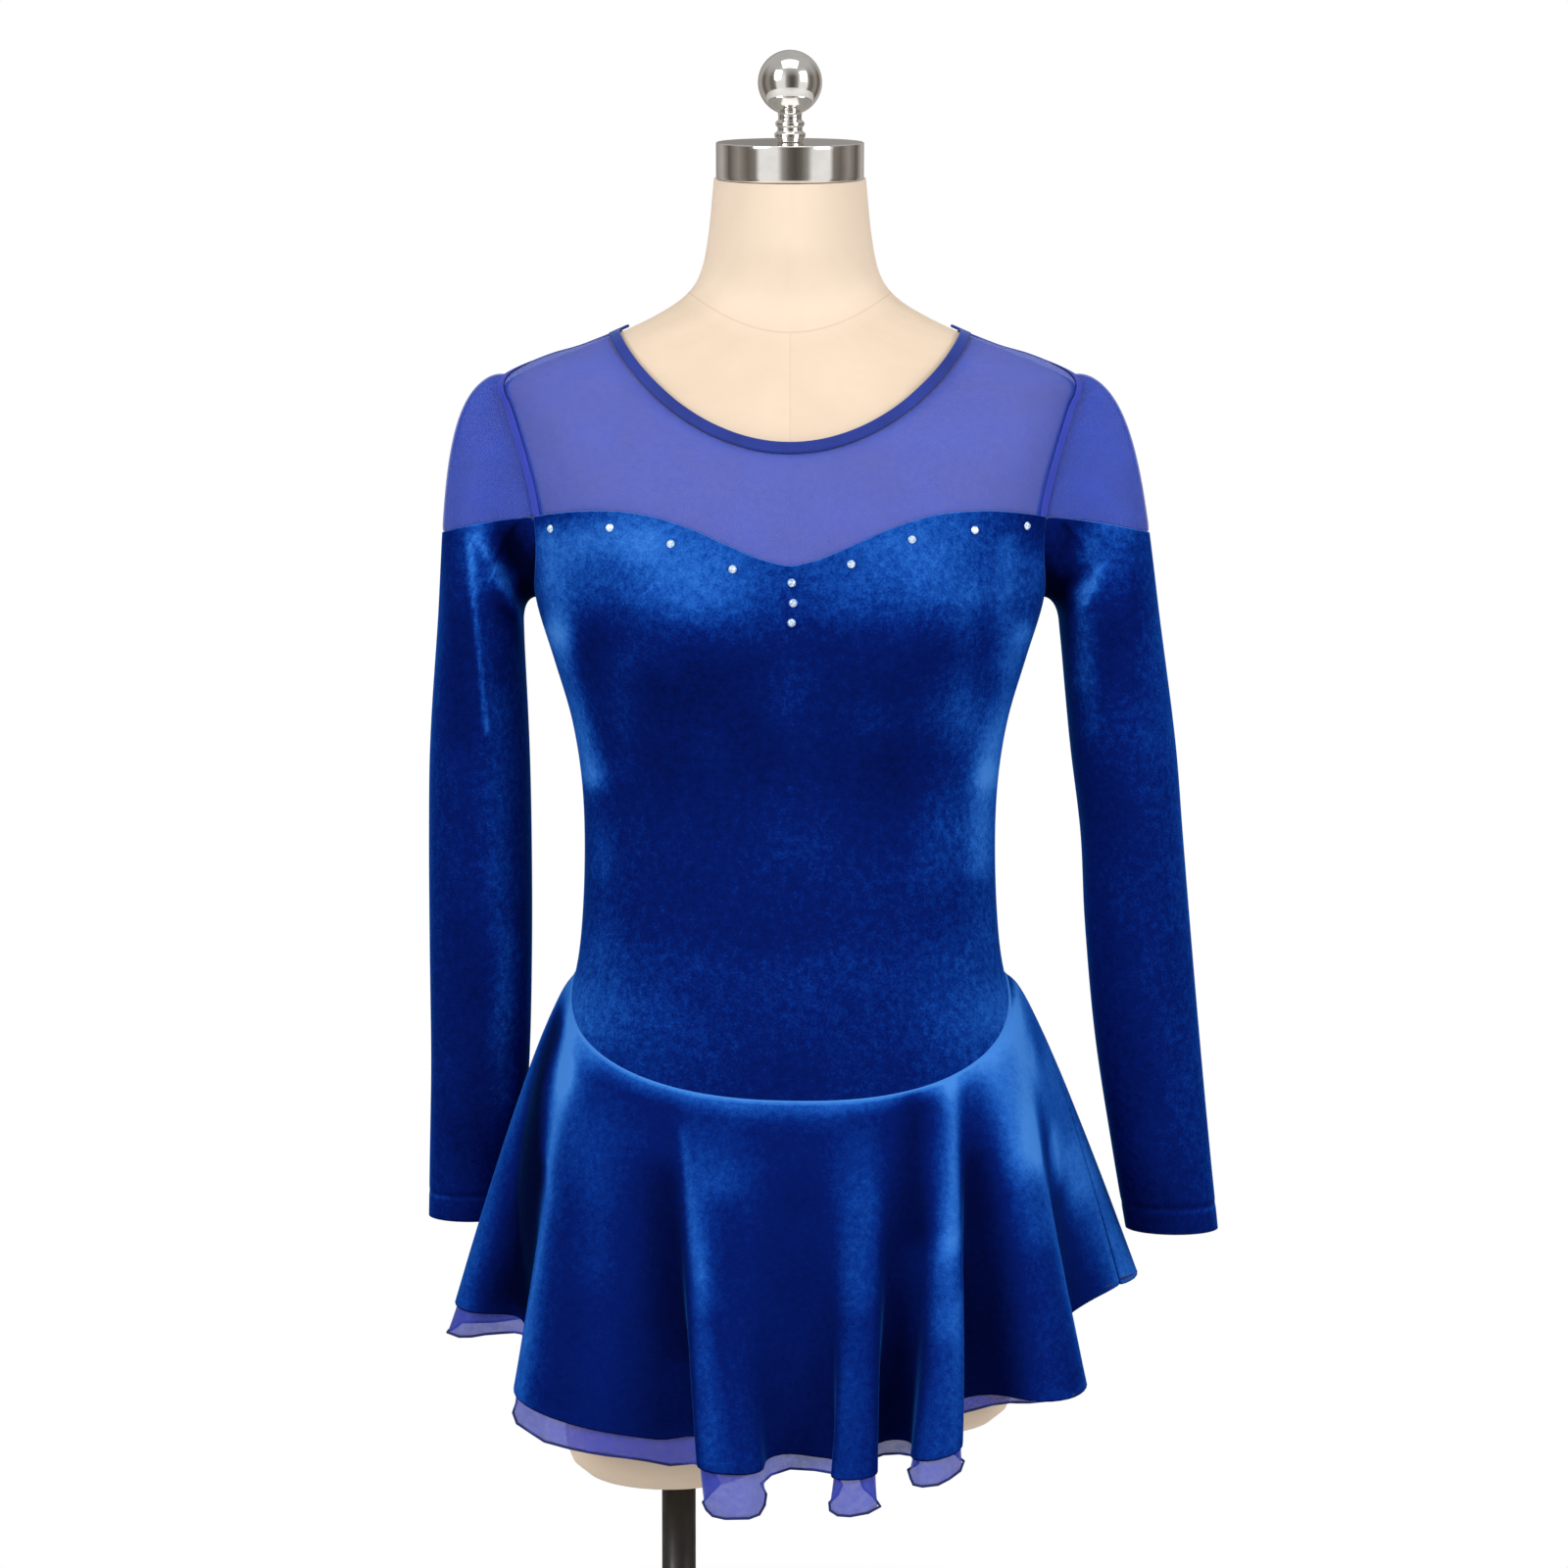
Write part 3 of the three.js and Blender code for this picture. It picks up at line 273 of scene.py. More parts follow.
def body_normal(angle, z):
    around = bare_body(angle + 0.5, z) - bare_body(angle - 0.5, z)
    up = bare_body(angle, z + 0.5) - bare_body(angle, z - 0.5)
    return unit(np.cross(around, up))


def on_body(angle, z, out):
    """Points of the form's surface, moved straight out from it."""
    angle, z, out = np.broadcast_arrays(np.asarray(angle, float), z, out)
    return bare_body(angle, z) + body_normal(angle, z) * out[..., None]


def on_cloth(angle, z, out):
    """Points of cloth worn on the body, out from its inner face. It sits closer on the shoulders."""
    ridge = smooth(1 - np.abs(np.cos(np.radians(angle))) * 3) * smooth((z - 994) / 8)
    tip = TIP_MORE * bell((z - TIP_Z) / TIP_TALL)
    return on_body(angle, z, lerp(EASE + tip, SHOULDER_EASE, ridge) + out)


def angle_at_depth(y, z):
    _, front, back, square = section(z)
    share = np.clip(np.abs(y) / np.where(y < 0, front, back), 0, 1)
    return np.degrees(np.arccos(-np.sign(y) * share ** (square / 2)))


def angle_at_width(x, z):
    half, _, _, square = section(z)
    share = np.clip(np.abs(x) / half, 0, 1)
    return np.sign(x) * np.degrees(np.arcsin(share ** (square / 2)))


def even_columns(z, count, is_back):
    """Columns from -1 to 1 that are evenly spaced along the body's section."""
    u = np.linspace(-1, 1, 721)
    angle = spread(90, u, is_back)
    steps = np.linalg.norm(np.diff(bare_body(angle, np.full(721, float(z))), axis=0), axis=1)
    along = np.concatenate([[0], np.cumsum(steps)])
    return np.interp(np.linspace(0, along[-1], count), along, u)


# ---- Lines of the dress ----
def spread(angle, u, is_back):
    """Mirrors an edge on the +X side to column u, from -1 to 1, in front or behind."""
    return 180 + u * (180 - angle) if is_back else u * angle


def skirt_seam_z(angle):
    ahead = np.cos(np.radians(angle))
    turned = np.cos(np.radians(angle - LOW_AT * ahead**2))
    return np.where(ahead > 0, SIDE_SEAM_Z - FRONT_DIP * turned, SIDE_SEAM_Z + BACK_DIP * ahead)


def armhole_depth(b, grow):
    turn = np.radians(b)
    forward = ARM_DEEP - ARM_EGG * np.cos(turn) + grow
    return ARM_Y * (1 - np.cos(turn)) / 2 - forward * np.sin(turn)


def armhole_z(b, grow):
    return ARM_Z + (ARM_TALL + grow) * np.cos(np.radians(b))


def armhole_point(b, grow, out):
    """A point of the armhole on the +X side: b is 0 on the shoulder, 90 in front, 180 below."""
    z = armhole_z(b, grow)
    return on_cloth(angle_at_depth(armhole_depth(b, grow), z), z, out)


CORNER_Z = float(armhole_z(YOKE_CORNER, SEAM / 2))


def neckline_at(turn, away, side):
    """The neckline's angle round the body and height, away millimetres out from the opening."""
    drop, roundness = NECK_DROP[side]
    x = (NECK_HALF + 0.93 * away) * np.sin(np.radians(turn))
    z = NECK_Z - 0.37 * away - (drop + 0.63 * away) * np.abs(np.cos(np.radians(turn))) ** roundness
    ahead = np.where(np.abs(turn) > 89.9, np.sign(turn) * 90, angle_at_width(x, z))
    return (180 + ahead if side == "back" else ahead), z


def side_edges(heights, arm_angles, is_back):
    """A half panel's outer edge: up the side seam to these heights, then along the armhole."""
    side = 1 if is_back else -1
    below = np.asarray(heights, float)
    b = np.asarray(arm_angles, float)
    z = np.concatenate([below, armhole_z(b, SEAM / 2)])
    depth = np.concatenate([
        np.full(len(below), side * SEAM / 2), armhole_depth(-b if is_back else b, SEAM / 2),
    ])
    return angle_at_depth(depth, z), z


def sweetheart_z(angle):
    x = np.abs(bare_body(angle, np.full(np.shape(angle), CORNER_Z))[..., 0])
    return curve_through(SWEETHEART[:, 0], SWEETHEART[:, 1], x)


def top_edge(u, corner_angle, is_back):
    if is_back:
        return lerp(BACK_TOP_MIDDLE, BACK_TOP_SIDE, u * u)
    return sweetheart_z(u * corner_angle)


def bodice_grid(is_back, columns):
    below = np.insert(np.linspace(SIDE_SEAM_Z, 848, 46), 1, SIDE_SEAM_Z + 0.7)
    arm_angles = np.append(np.linspace(163, YOKE_CORNER + 0.6, 18), YOKE_CORNER)
    angles, heights = side_edges(below, arm_angles, is_back)
    u = even_columns(760, columns, is_back)
    bottom = skirt_seam_z(spread(angles[0], u, is_back))
    top = top_edge(u, angles[-1], is_back) - SEAM / 2
    share = ((heights - SIDE_SEAM_Z) / (CORNER_Z - SIDE_SEAM_Z))[:, None]
    return spread(angles[:, None], u[None], is_back), lerp(bottom, top, share)


def yoke_grid(is_back, columns):
    side = "back" if is_back else "front"
    _, corner_z = neckline_at(np.array(90.0), BINDING_WIDE + SEAM, side)
    arm_angles, arm_z = side_edges([], np.linspace(YOKE_CORNER, 6, 34), is_back)
    shoulder_z = np.linspace(983.5, float(corner_z), 14)
    shoulder = angle_at_depth(np.full(14, (1 if is_back else -1) * SEAM / 2), shoulder_z)
    angles = np.concatenate([arm_angles, shoulder])
    heights = np.concatenate([arm_z, shoulder_z])
    u = even_columns(940, columns, is_back)
    neck_angle, neck_z = neckline_at(u * 90, BINDING_WIDE + SEAM, side)
    neck_share = (neck_angle - 180 if is_back else neck_angle) / 90
    share = ((heights - CORNER_Z) / (corner_z - CORNER_Z))[:, None]
    column = lerp(u[None], neck_share[None], share)
    low = top_edge(u, angles[0], is_back) + SEAM / 2
    return spread(angles[:, None], column, is_back), lerp(low[None], neck_z[None], share)


# Painted highlights and painted shade on the velvet, as strokes: by x and z, but on the skirt by angle and
# percent of its length.
PAINTED_LIGHT_STROKES = {
    "bodice_front": [
        ((-146, 882), (-141, 832), 0.42, 14), ((-140, 826), (-121, 745), 0.52, 11),
        ((-124, 876), (-120, 850), 0.1, 14), ((148, 868), (144, 832), 0.25, 13),
        ((106, 850), (102, 712), 0.14, 14), ((-100, 808), (-98, 755), 0.13, 14),
        ((140, 826), (120, 745), 0.45, 11), ((56, 861), (60, 850), -0.08, 22),
        ((-122, 886), (-84, 884), 0.18, 12), ((121, 740), (116, 690), 0.15, 12),
        ((-104, 790), (-50, 772), 0.24, 24), ((-92, 818), (-76, 812), 0.12, 14),
        ((50, 782), (104, 786), 0.36, 26), ((4, 800), (6, 765), 0.1, 20),
        ((-119, 740), (-113, 690), 0.11, 9), ((118, 740), (113, 690), 0.12, 9),
        ((130, 880), (125, 812), 0.2, 9), ((86, 800), (84, 690), 0.1, 16),
        ((-60, 800), (-10, 790), 0.1, 14), ((-74, 655), (60, 655), -0.15, 44),
        ((-60, 600), (60, 600), -0.06, 30), ((-112, 705), (-112, 640), 0.07, 12),
        ((122, 760), (120, 650), 0.1, 13),
    ],
    "bodice_back": [
        ((-90, 800), (-20, 780), 0.2, 26), ((30, 790), (110, 800), 0.24, 26),
        ((-50, 660), (60, 640), -0.12, 40), ((-128, 870), (-126, 810), 0.2, 15),
        ((118, 740), (114, 660), 0.08, 14),
    ],
    "sleeve_left": [
        ((-178, 830), (-178, 520), 0.14, 11), ((-202, 850), (-208, 480), 0.07, 30),
        ((-172, 640), (-176, 540), 0.16, 9), ((-192, 884), (-183, 770), 0.26, 1.8),
        ((-188, 888), (-160, 828), 0.24, 1.8), ((-170, 886), (-158, 862), -0.26, 8),
        ((-204, 886), (-200, 770), -0.14, 12), ((-178, 850), (-174, 800), -0.12, 7),
    ],
    "sleeve_right": [
        ((190, 780), (226, 500), 0.09, 30), ((178, 840), (182, 770), 0.12, 7),
        ((176, 886), (176, 800), 0.2, 8), ((172, 864), (166, 850), -0.3, 7),
        ((186, 868), (174, 836), 0.16, 1.8), ((205, 880), (204, 850), -0.15, 14),
    ],
    "skirt": [
        ((-70, 0), (-62, 12), 0.42, 6), ((-62, 12), (-62, 38), 0.46, 5),
        ((-58, 44), (-54.5, 100), 0.28, 3.5), ((-48, 40), (-47, 95), -0.12, 5),
        ((-80, 12), (-74, 45), -0.65, 6), ((-73, 48), (-75, 92), -0.5, 6), ((-97, 5), (-98, 95), 0.35, 6),
        ((-45, 8), (28, 8), -0.13, 9), ((-26, 25), (-25, 95), -0.16, 4), ((-21, 12), (-17, 50), 0.17, 1.4),
        ((-17, 50), (-18, 98), 0.1, 1.4), ((-12, 30), (-12, 100), -0.16, 4),
        ((2.5, 35), (2.5, 95), 0.06, 5), ((13, 60), (13, 100), -0.1, 4), ((26, 2), (26, 40), -0.2, 4),
        ((37, 0), (33, 44), 0.3, 2.5), ((33, 44), (36, 98), 0.1, 2.5), ((43, 30), (43, 100), -0.15, 4.5),
        ((52, 2), (56, 30), 0.14, 8), ((72, 0), (61, 30), 0.42, 8), ((74, 18), (76, 50), 0.3, 5),
        ((54, 60), (54, 95), -0.12, 4), ((61, 36), (61, 100), 0.22, 3), ((61, 26), (61, 36), 0.13, 4),
        ((77, 46), (77, 56), 0.3, 4), ((84, 30), (86, 65), 0.25, 7), ((82, 60), (90, 98), 0.25, 8),
        ((125, 5), (122, 60), 0.25, 6), ((160, 10), (158, 80), 0.2, 6), ((-150, 5), (-149, 70), 0.25, 6),
        ((-118, 20), (-120, 90), -0.2, 6), ((-15.5, 60), (-15.5, 100), -0.13, 3),
        ((-25, 80), (-25, 100), 0.14, 3), ((-45, 4), (-15, 4), -0.1, 3), ((12, 4), (30, 4), -0.12, 3),
        ((34, 60), (34, 100), 0.14, 2), ((30, 72), (30, 100), -0.14, 4), ((-44, 68), (-44, 100), -0.08, 5),
    ],
}


# ---- Meshes ----
def finish_piece(name, shape, material, replaces=(), smooth_shading=True):
    """Makes a bmesh in the scene's own frame a finished piece that rides on the root."""
    mesh = bpy.data.meshes.new(name)
    shape.to_mesh(mesh)
    shape.free()
    mesh.polygons.foreach_set("use_smooth", [smooth_shading] * len(mesh.polygons))
    mesh.materials.append(material)
    piece = bpy.data.objects.new(name, mesh)
    bpy.context.scene.collection.objects.link(piece)
    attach(piece, "root")
    if replaces:
        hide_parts(*replaces)
    return piece


def woven(points, closed=False, shade=None):
    """A bmesh through a grid of points in millimetres, with UVs in metres along the cloth.

    shade, a number for each point, is kept as the attribute that materials read for the velvet's painted
    highlights and shade.
    """
    rows, columns = points.shape[:2]
    shape = bmesh.new()
    bmesh.ops.create_grid(shape, x_segments=columns - 1, y_segments=rows - 1, size=0.5, calc_uvs=True)
    places = points * MM
    across = np.concatenate([
        np.zeros((rows, 1)), np.cumsum(np.linalg.norm(np.diff(places, axis=1), axis=2), axis=1),
    ], axis=1)
    up = np.concatenate([
        np.zeros((1, columns)), np.cumsum(np.linalg.norm(np.diff(places, axis=0), axis=2), axis=0),
    ])
    across = np.broadcast_to(across.mean(0), (rows, columns))
    uv_of = {}
    painted_light = shape.verts.layers.float.new("painted_light") if shade is not None else None
    for vert in shape.verts:
        column = round((vert.co.x + 0.5) * (columns - 1))
        row = round((vert.co.y + 0.5) * (rows - 1))
        uv_of[vert] = (across[row, column], up[row, column])
        vert.co = places[row, column]
        if painted_light:
            vert[painted_light] = shade[row, column]
    layer = shape.loops.layers.uv.verify()
    for face in shape.faces:
        for loop in face.loops:
            loop[layer].uv = uv_of[loop.vert]
    if closed:
        bmesh.ops.remove_doubles(shape, verts=shape.verts, dist=1e-6)
    return shape


def cloth(name, points, wall, material, replaces=(), closed=False, shade=None, edge=0.7):
    """A panel of cloth: its outer face from a grid, a wall inwards from it, and soft edges."""
    piece = finish_piece(name, woven(points, closed, shade), material, replaces)
    solid = piece.modifiers.new("wall", "SOLIDIFY")
    solid.thickness = wall * MM
    solid.offset = -1
    solid.edge_crease_outer = edge
    solid.edge_crease_inner = edge
    soft = piece.modifiers.new("soft", "SUBSURF")
    soft.levels = 1
    soft.render_levels = 1
    return piece


def cord_along(name, path, radius, material, sides=8):
    """A thin round roll of cloth or thread that follows a path in millimetres."""
    tangent = unit(np.gradient(path, axis=0))
    first = unit(np.cross(tangent, np.array([0.0, 0.0, 1.0])))
    second = np.cross(tangent, first)
    turn = np.linspace(0, 2 * math.pi, sides + 1)[None, :, None]
    ring = path[:, None] + radius * (np.cos(turn) * first[:, None] + np.sin(turn) * second[:, None])
    shape = woven(ring, closed=True)
    rims = [edge for edge in shape.edges if edge.is_boundary]
    bmesh.ops.holes_fill(shape, edges=rims, sides=0)
    bmesh.ops.recalc_face_normals(shape, faces=shape.faces)
    return finish_piece(name, shape, material)


def turned(name, profile, segments, place, material, slot, replaces=()):
    """A turned piece: a profile of (radius, height) in millimetres, spun round Z and put in place."""
    shape = bmesh.new()
    verts = [shape.verts.new((radius * MM, 0, height * MM)) for radius, height in profile]
    edges = [shape.edges.new(pair) for pair in zip(verts, verts[1:])]
    bmesh.ops.spin(
        shape, geom=verts + edges, cent=(0, 0, 0), axis=(0, 0, 1), angle=math.tau,
        steps=segments, use_merge=True, use_duplicate=False,
    )
    bmesh.ops.remove_doubles(shape, verts=shape.verts, dist=1e-6)
    bmesh.ops.recalc_face_normals(shape, faces=shape.faces)
    bmesh.ops.transform(shape, matrix=place, verts=shape.verts)
    return finish_piece(name, shape, material, replaces)


# ---- Materials ----
# Painted light from above: velvet's colour by how far its face tilts upwards.
PILE_PAINTED_LIGHT = (
    (-0.5, (0.0006, 0.0016, 0.018)),
    (-0.25, (0.0010, 0.0042, 0.054)),
    (0.0, (0.0016, 0.0092, 0.112)),
    (0.12, (0.0022, 0.0220, 0.185)),
    (0.25, (0.0060, 0.0560, 0.310)),
    (0.4, (0.0180, 0.1150, 0.465)),
    (0.62, (0.0480, 0.2000, 0.600)),
)
PILE_FROM, PILE_TO = PILE_PAINTED_LIGHT[0][0], PILE_PAINTED_LIGHT[-1][0]
# Where the cloth faces straight up, the painted light from above is taken back: from and to this upward part,
# it darkens by this.
ON_TOP_FROM, ON_TOP_TO, ON_TOP_DARK = 0.66, 0.86, 0.75


class Nodes:
    """A node tree, with short ways to add the nodes that the finishes here are made of."""

    def __init__(self, tree):
        self.tree = tree

    def add(self, kind):
        return self.tree.nodes.new("ShaderNode" + kind)

    def feed(self, socket, value):
        """Links an output to the socket, or sets the socket to a plain value."""
        if hasattr(value, "links"):
            self.tree.links.new(value, socket)
        else:
            socket.default_value = value

    def place(self, kind="Object"):
        return self.add("TexCoord").outputs[kind]

    def parts(self, vector):
        node = self.add("SeparateXYZ")
        self.feed(node.inputs[0], vector)
        return node.outputs

    def math(self, operation, a, b=None, clamp=False):
        node = self.add("Math")
        node.operation = operation
        node.use_clamp = clamp
        self.feed(node.inputs[0], a)
        if b is not None:
            self.feed(node.inputs[1], b)
        return node.outputs[0]

    def noise(self, place, scale, detail=3.0):
        node = self.add("TexNoise")
        for label, value in (("Vector", place), ("Scale", scale), ("Detail", detail), ("Roughness", 0.55)):
            self.feed(node.inputs[label], value)
        return node.outputs["Fac"]

    def spread(self, value, low, high, to_low=0.0, to_high=1.0):
        """Maps the range from low to high onto another one, and holds what is outside at its ends."""
        node = self.add("MapRange")
        labels = ("Value", "From Min", "From Max", "To Min", "To Max")
        for label, given in zip(labels, (value, low, high, to_low, to_high)):
            self.feed(node.inputs[label], given)
        return node.outputs["Result"]

    def mix(self, factor, a, b):
        node = self.add("Mix")
        node.data_type = "RGBA"
        for number, value in ((0, factor), (6, a), (7, b)):
            self.feed(node.inputs[number], value)
        return node.outputs[2]

    def ramp(self, value, shades):
        """Blends between colours, each at its place from 0 to 1."""
        node = self.add("ValToRGB")
        self.feed(node.inputs[0], value)
        stops = node.color_ramp.elements
        while len(stops) < len(shades):
            stops.new(0.5)
        for stop, (position, color) in zip(stops, shades):
            stop.position = position
            stop.color = (*color, 1)
        return node.outputs["Color"]

    def mix_shaders(self, factor, a, b):
        node = self.add("MixShader")
        for number, value in enumerate((factor, a, b)):
            self.feed(node.inputs[number], value)
        return node.outputs[0]

    def group(self, group, **values):
        node = self.add("Group")
        node.node_tree = group
        for label, value in values.items():
            node.inputs[label.replace("_", " ")].default_value = value
        return node.outputs

    def bump(self, shader, height, distance, strength):
        node = self.add("Bump")
        for label, value in (("Height", height), ("Distance", distance), ("Strength", strength)):
            self.feed(node.inputs[label], value)
        self.feed(shader.inputs["Normal"], node.outputs["Normal"])


def new_material(name, **plain):
    """A material, its nodes and its shader, with the plain values set on the shader's own sockets."""
    material = bpy.data.materials.new(name)
    material.use_nodes = True
    shader = material.node_tree.nodes["Principled BSDF"]
    for label, value in plain.items():
        shader.inputs[label.replace("_", " ")].default_value = value
    return material, Nodes(material.node_tree), shader


def node_group(name, inputs, outputs):
    """A group with its inputs and their defaults, and its outputs and their kinds."""
    group = bpy.data.node_groups.new(name, "ShaderNodeTree")
    for label, default in inputs.items():
        socket = group.interface.new_socket(label, in_out="INPUT", socket_type="NodeSocketFloat")
        socket.default_value = default
    for label, kind in outputs.items():
        group.interface.new_socket(label, in_out="OUTPUT", socket_type="NodeSocket" + kind)
    given = group.nodes.new("NodeGroupInput").outputs
    made = group.nodes.new("NodeGroupOutput").inputs
    return group, Nodes(group), given, made


def make_pile_and_painted_light_group():
    """Velvet's colour: painted light from above, lighter where the cloth tilts up and darker where it tilts
    down or lies flat, plus the painted highlights and shade kept on the mesh and random flecks and patches of
    the pile.
    """
    group, nodes, given, made = node_group(
        "pile_and_painted_light",
        {"Fleck Size": 0.0012, "Fleck Depth": 0.1, "Patch Depth": 0.1, "Lay": 0.0},
        {"Color": "Color", "Height": "Float", "Roughness": "Float"},
    )
    place = nodes.place()
    fleck_scale = nodes.math("DIVIDE", 1.0, given["Fleck Size"])
    fine = nodes.noise(place, fleck_scale, 2.0)
    coarse = nodes.noise(place, nodes.math("MULTIPLY", fleck_scale, 0.3))
    fine_spread, coarse_spread, patch_spread = (
        nodes.spread(grain, 0.3, 0.7, -0.5, 0.5) for grain in (fine, coarse, nodes.noise(place, 18.0))
    )
    flecks = nodes.math("MULTIPLY", nodes.math("ADD", fine_spread, coarse_spread), given["Fleck Depth"])
    patches = nodes.math("MULTIPLY", patch_spread, given["Patch Depth"])
    # Painted light from above: the upward part of the normal picks the colour, shifted by the painted
    # highlights and shade on the mesh.
    upward = nodes.parts(nodes.place("Normal"))[2]
    painted_strokes = nodes.add("Attribute")
    painted_strokes.attribute_name = "painted_light"
    painted_shift_and_strokes = nodes.math("ADD", given["Lay"], painted_strokes.outputs["Fac"])
    on_top = nodes.spread(upward, ON_TOP_FROM, ON_TOP_TO, 0.0, ON_TOP_DARK)
    painted_light = nodes.math("ADD", nodes.math("SUBTRACT", upward, on_top), painted_shift_and_strokes)
    tilt = nodes.math("ADD", painted_light, nodes.math("ADD", flecks, patches))
    shades = [((tilted - PILE_FROM) / (PILE_TO - PILE_FROM), color) for tilted, color in PILE_PAINTED_LIGHT]
    nodes.feed(made["Color"], nodes.ramp(nodes.spread(tilt, PILE_FROM, PILE_TO), shades))
    nodes.feed(made["Height"], fine)
    nodes.feed(made["Roughness"], nodes.spread(coarse, 0.3, 0.7, 0.72, 0.9))
    return group


def make_threads_group():
    """Fine threads along the cloth's own UVs: a mask of thread against gap, and its height."""
    group, nodes, given, made = node_group(
        "threads", {"Pitch": 0.0009, "Contrast": 0.5}, {"Mask": "Float", "Height": "Float"},
    )
    uv = nodes.place("UV")
    along = nodes.parts(uv)
    turns = nodes.math("DIVIDE", math.tau, given["Pitch"])
    waves = [nodes.math("SINE", nodes.math("MULTIPLY", along[axis], turns)) for axis in (0, 1)]
    height = nodes.spread(nodes.math("MULTIPLY", *waves), -1.0, 1.0)
    uneven = nodes.spread(nodes.noise(uv, 260.0, 2.0), 0.3, 0.7, 0.6, 1.2)
    lively = nodes.math("MULTIPLY", height, uneven)
    nodes.feed(made["Height"], lively)
    gaps = nodes.math("MULTIPLY", lively, given["Contrast"])
    nodes.feed(made["Mask"], nodes.math("SUBTRACT", 1.0, gaps, clamp=True))
    return group


PAINTED_LIGHT_AND_PILE = make_pile_and_painted_light_group()
THREADS = make_threads_group()


def make_velvet(name, painted_shift, fleck_size, fleck_depth):
    """Velvet with painted light from above, shifted by this much, and flecks of this size and depth."""
    material, nodes, shader = new_material(
        name, Specular_IOR_Level=0.0, Sheen_Weight=0.6, Sheen_Roughness=0.25, Sheen_Tint=(0.03, 0.25, 1.0, 1),
    )
    pile_and_painted_light = nodes.group(PAINTED_LIGHT_AND_PILE, Fleck_Size=fleck_size, Fleck_Depth=fleck_depth, Patch_Depth=0.08, Lay=painted_shift)
    nodes.feed(shader.inputs["Base Color"], pile_and_painted_light["Color"])
    nodes.feed(shader.inputs["Roughness"], pile_and_painted_light["Roughness"])
    nodes.bump(shader, pile_and_painted_light["Height"], 0.0006, 0.5)
    return material


def make_sheer(name, color, cover, pitch, contrast, roughness, sheen):
    """Sheer cloth: threads that cover this share of what is behind them."""
    material, nodes, shader = new_material(
        name, Roughness=roughness, Specular_IOR_Level=0.2, Sheen_Weight=sheen, Sheen_Roughness=0.5,
        Sheen_Tint=(0.35, 0.45, 1.0, 1),
    )
    threads = nodes.group(THREADS, Pitch=pitch, Contrast=contrast)
    cloudy = nodes.spread(nodes.noise(nodes.place("UV"), 30.0), 0.3, 0.7)
    deep = (*(0.92 * c for c in color), 1)
    light = (*(1.08 * c for c in color), 1)
    nodes.feed(shader.inputs["Base Color"], nodes.mix(cloudy, deep, light))
    nodes.feed(shader.inputs["Alpha"], nodes.math("MULTIPLY", threads["Mask"], cover, clamp=True))
    nodes.bump(shader, threads["Height"], 0.0002, 0.35)
    return material


def make_cloth(name, deep, light, pitch, roughness, sheen, tint, depth=0.0003):
    """Close cloth that is never quite even, from a deep to a light shade."""
    material, nodes, shader = new_material(
        name, Specular_IOR_Level=0.25, Sheen_Weight=sheen, Sheen_Roughness=0.5, Sheen_Tint=(*tint, 1),
    )
    threads = nodes.group(THREADS, Pitch=pitch, Contrast=0.5)
    cloudy = nodes.noise(nodes.place("UV"), 22.0)
    shade = nodes.math("MULTIPLY", nodes.spread(cloudy, 0.3, 0.7), threads["Mask"])
    nodes.feed(shader.inputs["Base Color"], nodes.mix(shade, (*deep, 1), (*light, 1)))
    dull = nodes.spread(cloudy, 0.3, 0.7, roughness - 0.06, roughness + 0.06)
    nodes.feed(shader.inputs["Roughness"], dull)
    nodes.bump(shader, threads["Height"], depth, 0.4)
    return material


def make_jersey():
    """The form's cover: fine jersey with a painted highlight that makes the neck paler, seamed round the
    neck's foot and down the front.
    """
    material = make_cloth(
        "form_jersey", (0.64, 0.51, 0.385), (0.70, 0.565, 0.43), 0.0009, 0.85, 0.15, (1, 0.95, 0.9), 0.00015,
    )
    nodes = Nodes(material.node_tree)
    base = material.node_tree.nodes["Principled BSDF"].inputs["Base Color"]
    across, _, height = nodes.parts(nodes.place())
    sag = nodes.math("MULTIPLY", nodes.math("MULTIPLY", across, across), NECK_SEAM_RISE)
    above = nodes.math("SUBTRACT", nodes.math("SUBTRACT", height, NECK_SEAM_Z * MM), sag)
    round_neck = nodes.spread(nodes.math("ABSOLUTE", above), 0.0002, 0.0009, 1.0, 0.0)
    down_front = nodes.spread(nodes.math("ABSOLUTE", across), 0.0001, 0.0007, 1.0, 0.0)
    down_front = nodes.math("MULTIPLY", down_front, nodes.math("LESS_THAN", above, 0.0))
    seams = nodes.math("MAXIMUM", round_neck, nodes.math("MULTIPLY", down_front, 0.6))
    # Painted highlight: the neck is made paler, where it catches less of the light from above than the
    # shoulders.
    neck_painted_highlight = nodes.spread(above, -0.01, 0.012, 0.0, 0.5)
    plain = nodes.mix(neck_painted_highlight, base.links[0].from_socket, (0.83, 0.685, 0.55, 1))
    nodes.feed(base, nodes.mix(nodes.math("MULTIPLY", seams, 0.3), plain, (0.42, 0.31, 0.22, 1)))
    return material


def make_metal(name, color, roughness, metallic, scratch_scale):
    material, nodes, shader = new_material(name, Metallic=metallic)
    worn = nodes.noise(nodes.place(), scratch_scale, 5.0)
    nodes.feed(shader.inputs["Roughness"], nodes.spread(worn, 0.35, 0.7, roughness, roughness * 1.9))
    dull = (*(0.85 * c for c in color), 1)
    nodes.feed(shader.inputs["Base Color"], nodes.mix(nodes.spread(worn, 0.4, 0.75), (*color, 1), dull))
    nodes.bump(shader, worn, 0.00005, 0.2)
    return material


def make_crystal():
    material, nodes, shader = new_material(
        "crystal", Metallic=0.35, Roughness=0.08, Coat_Weight=1.0, Coat_Roughness=0.03,
    )
    fire = nodes.spread(nodes.noise(nodes.place(), 900.0, 1.0), 0.35, 0.65)
    nodes.feed(shader.inputs["Base Color"], nodes.mix(fire, (0.28, 0.52, 0.86, 1), (0.85, 0.95, 1.0, 1)))
    return material
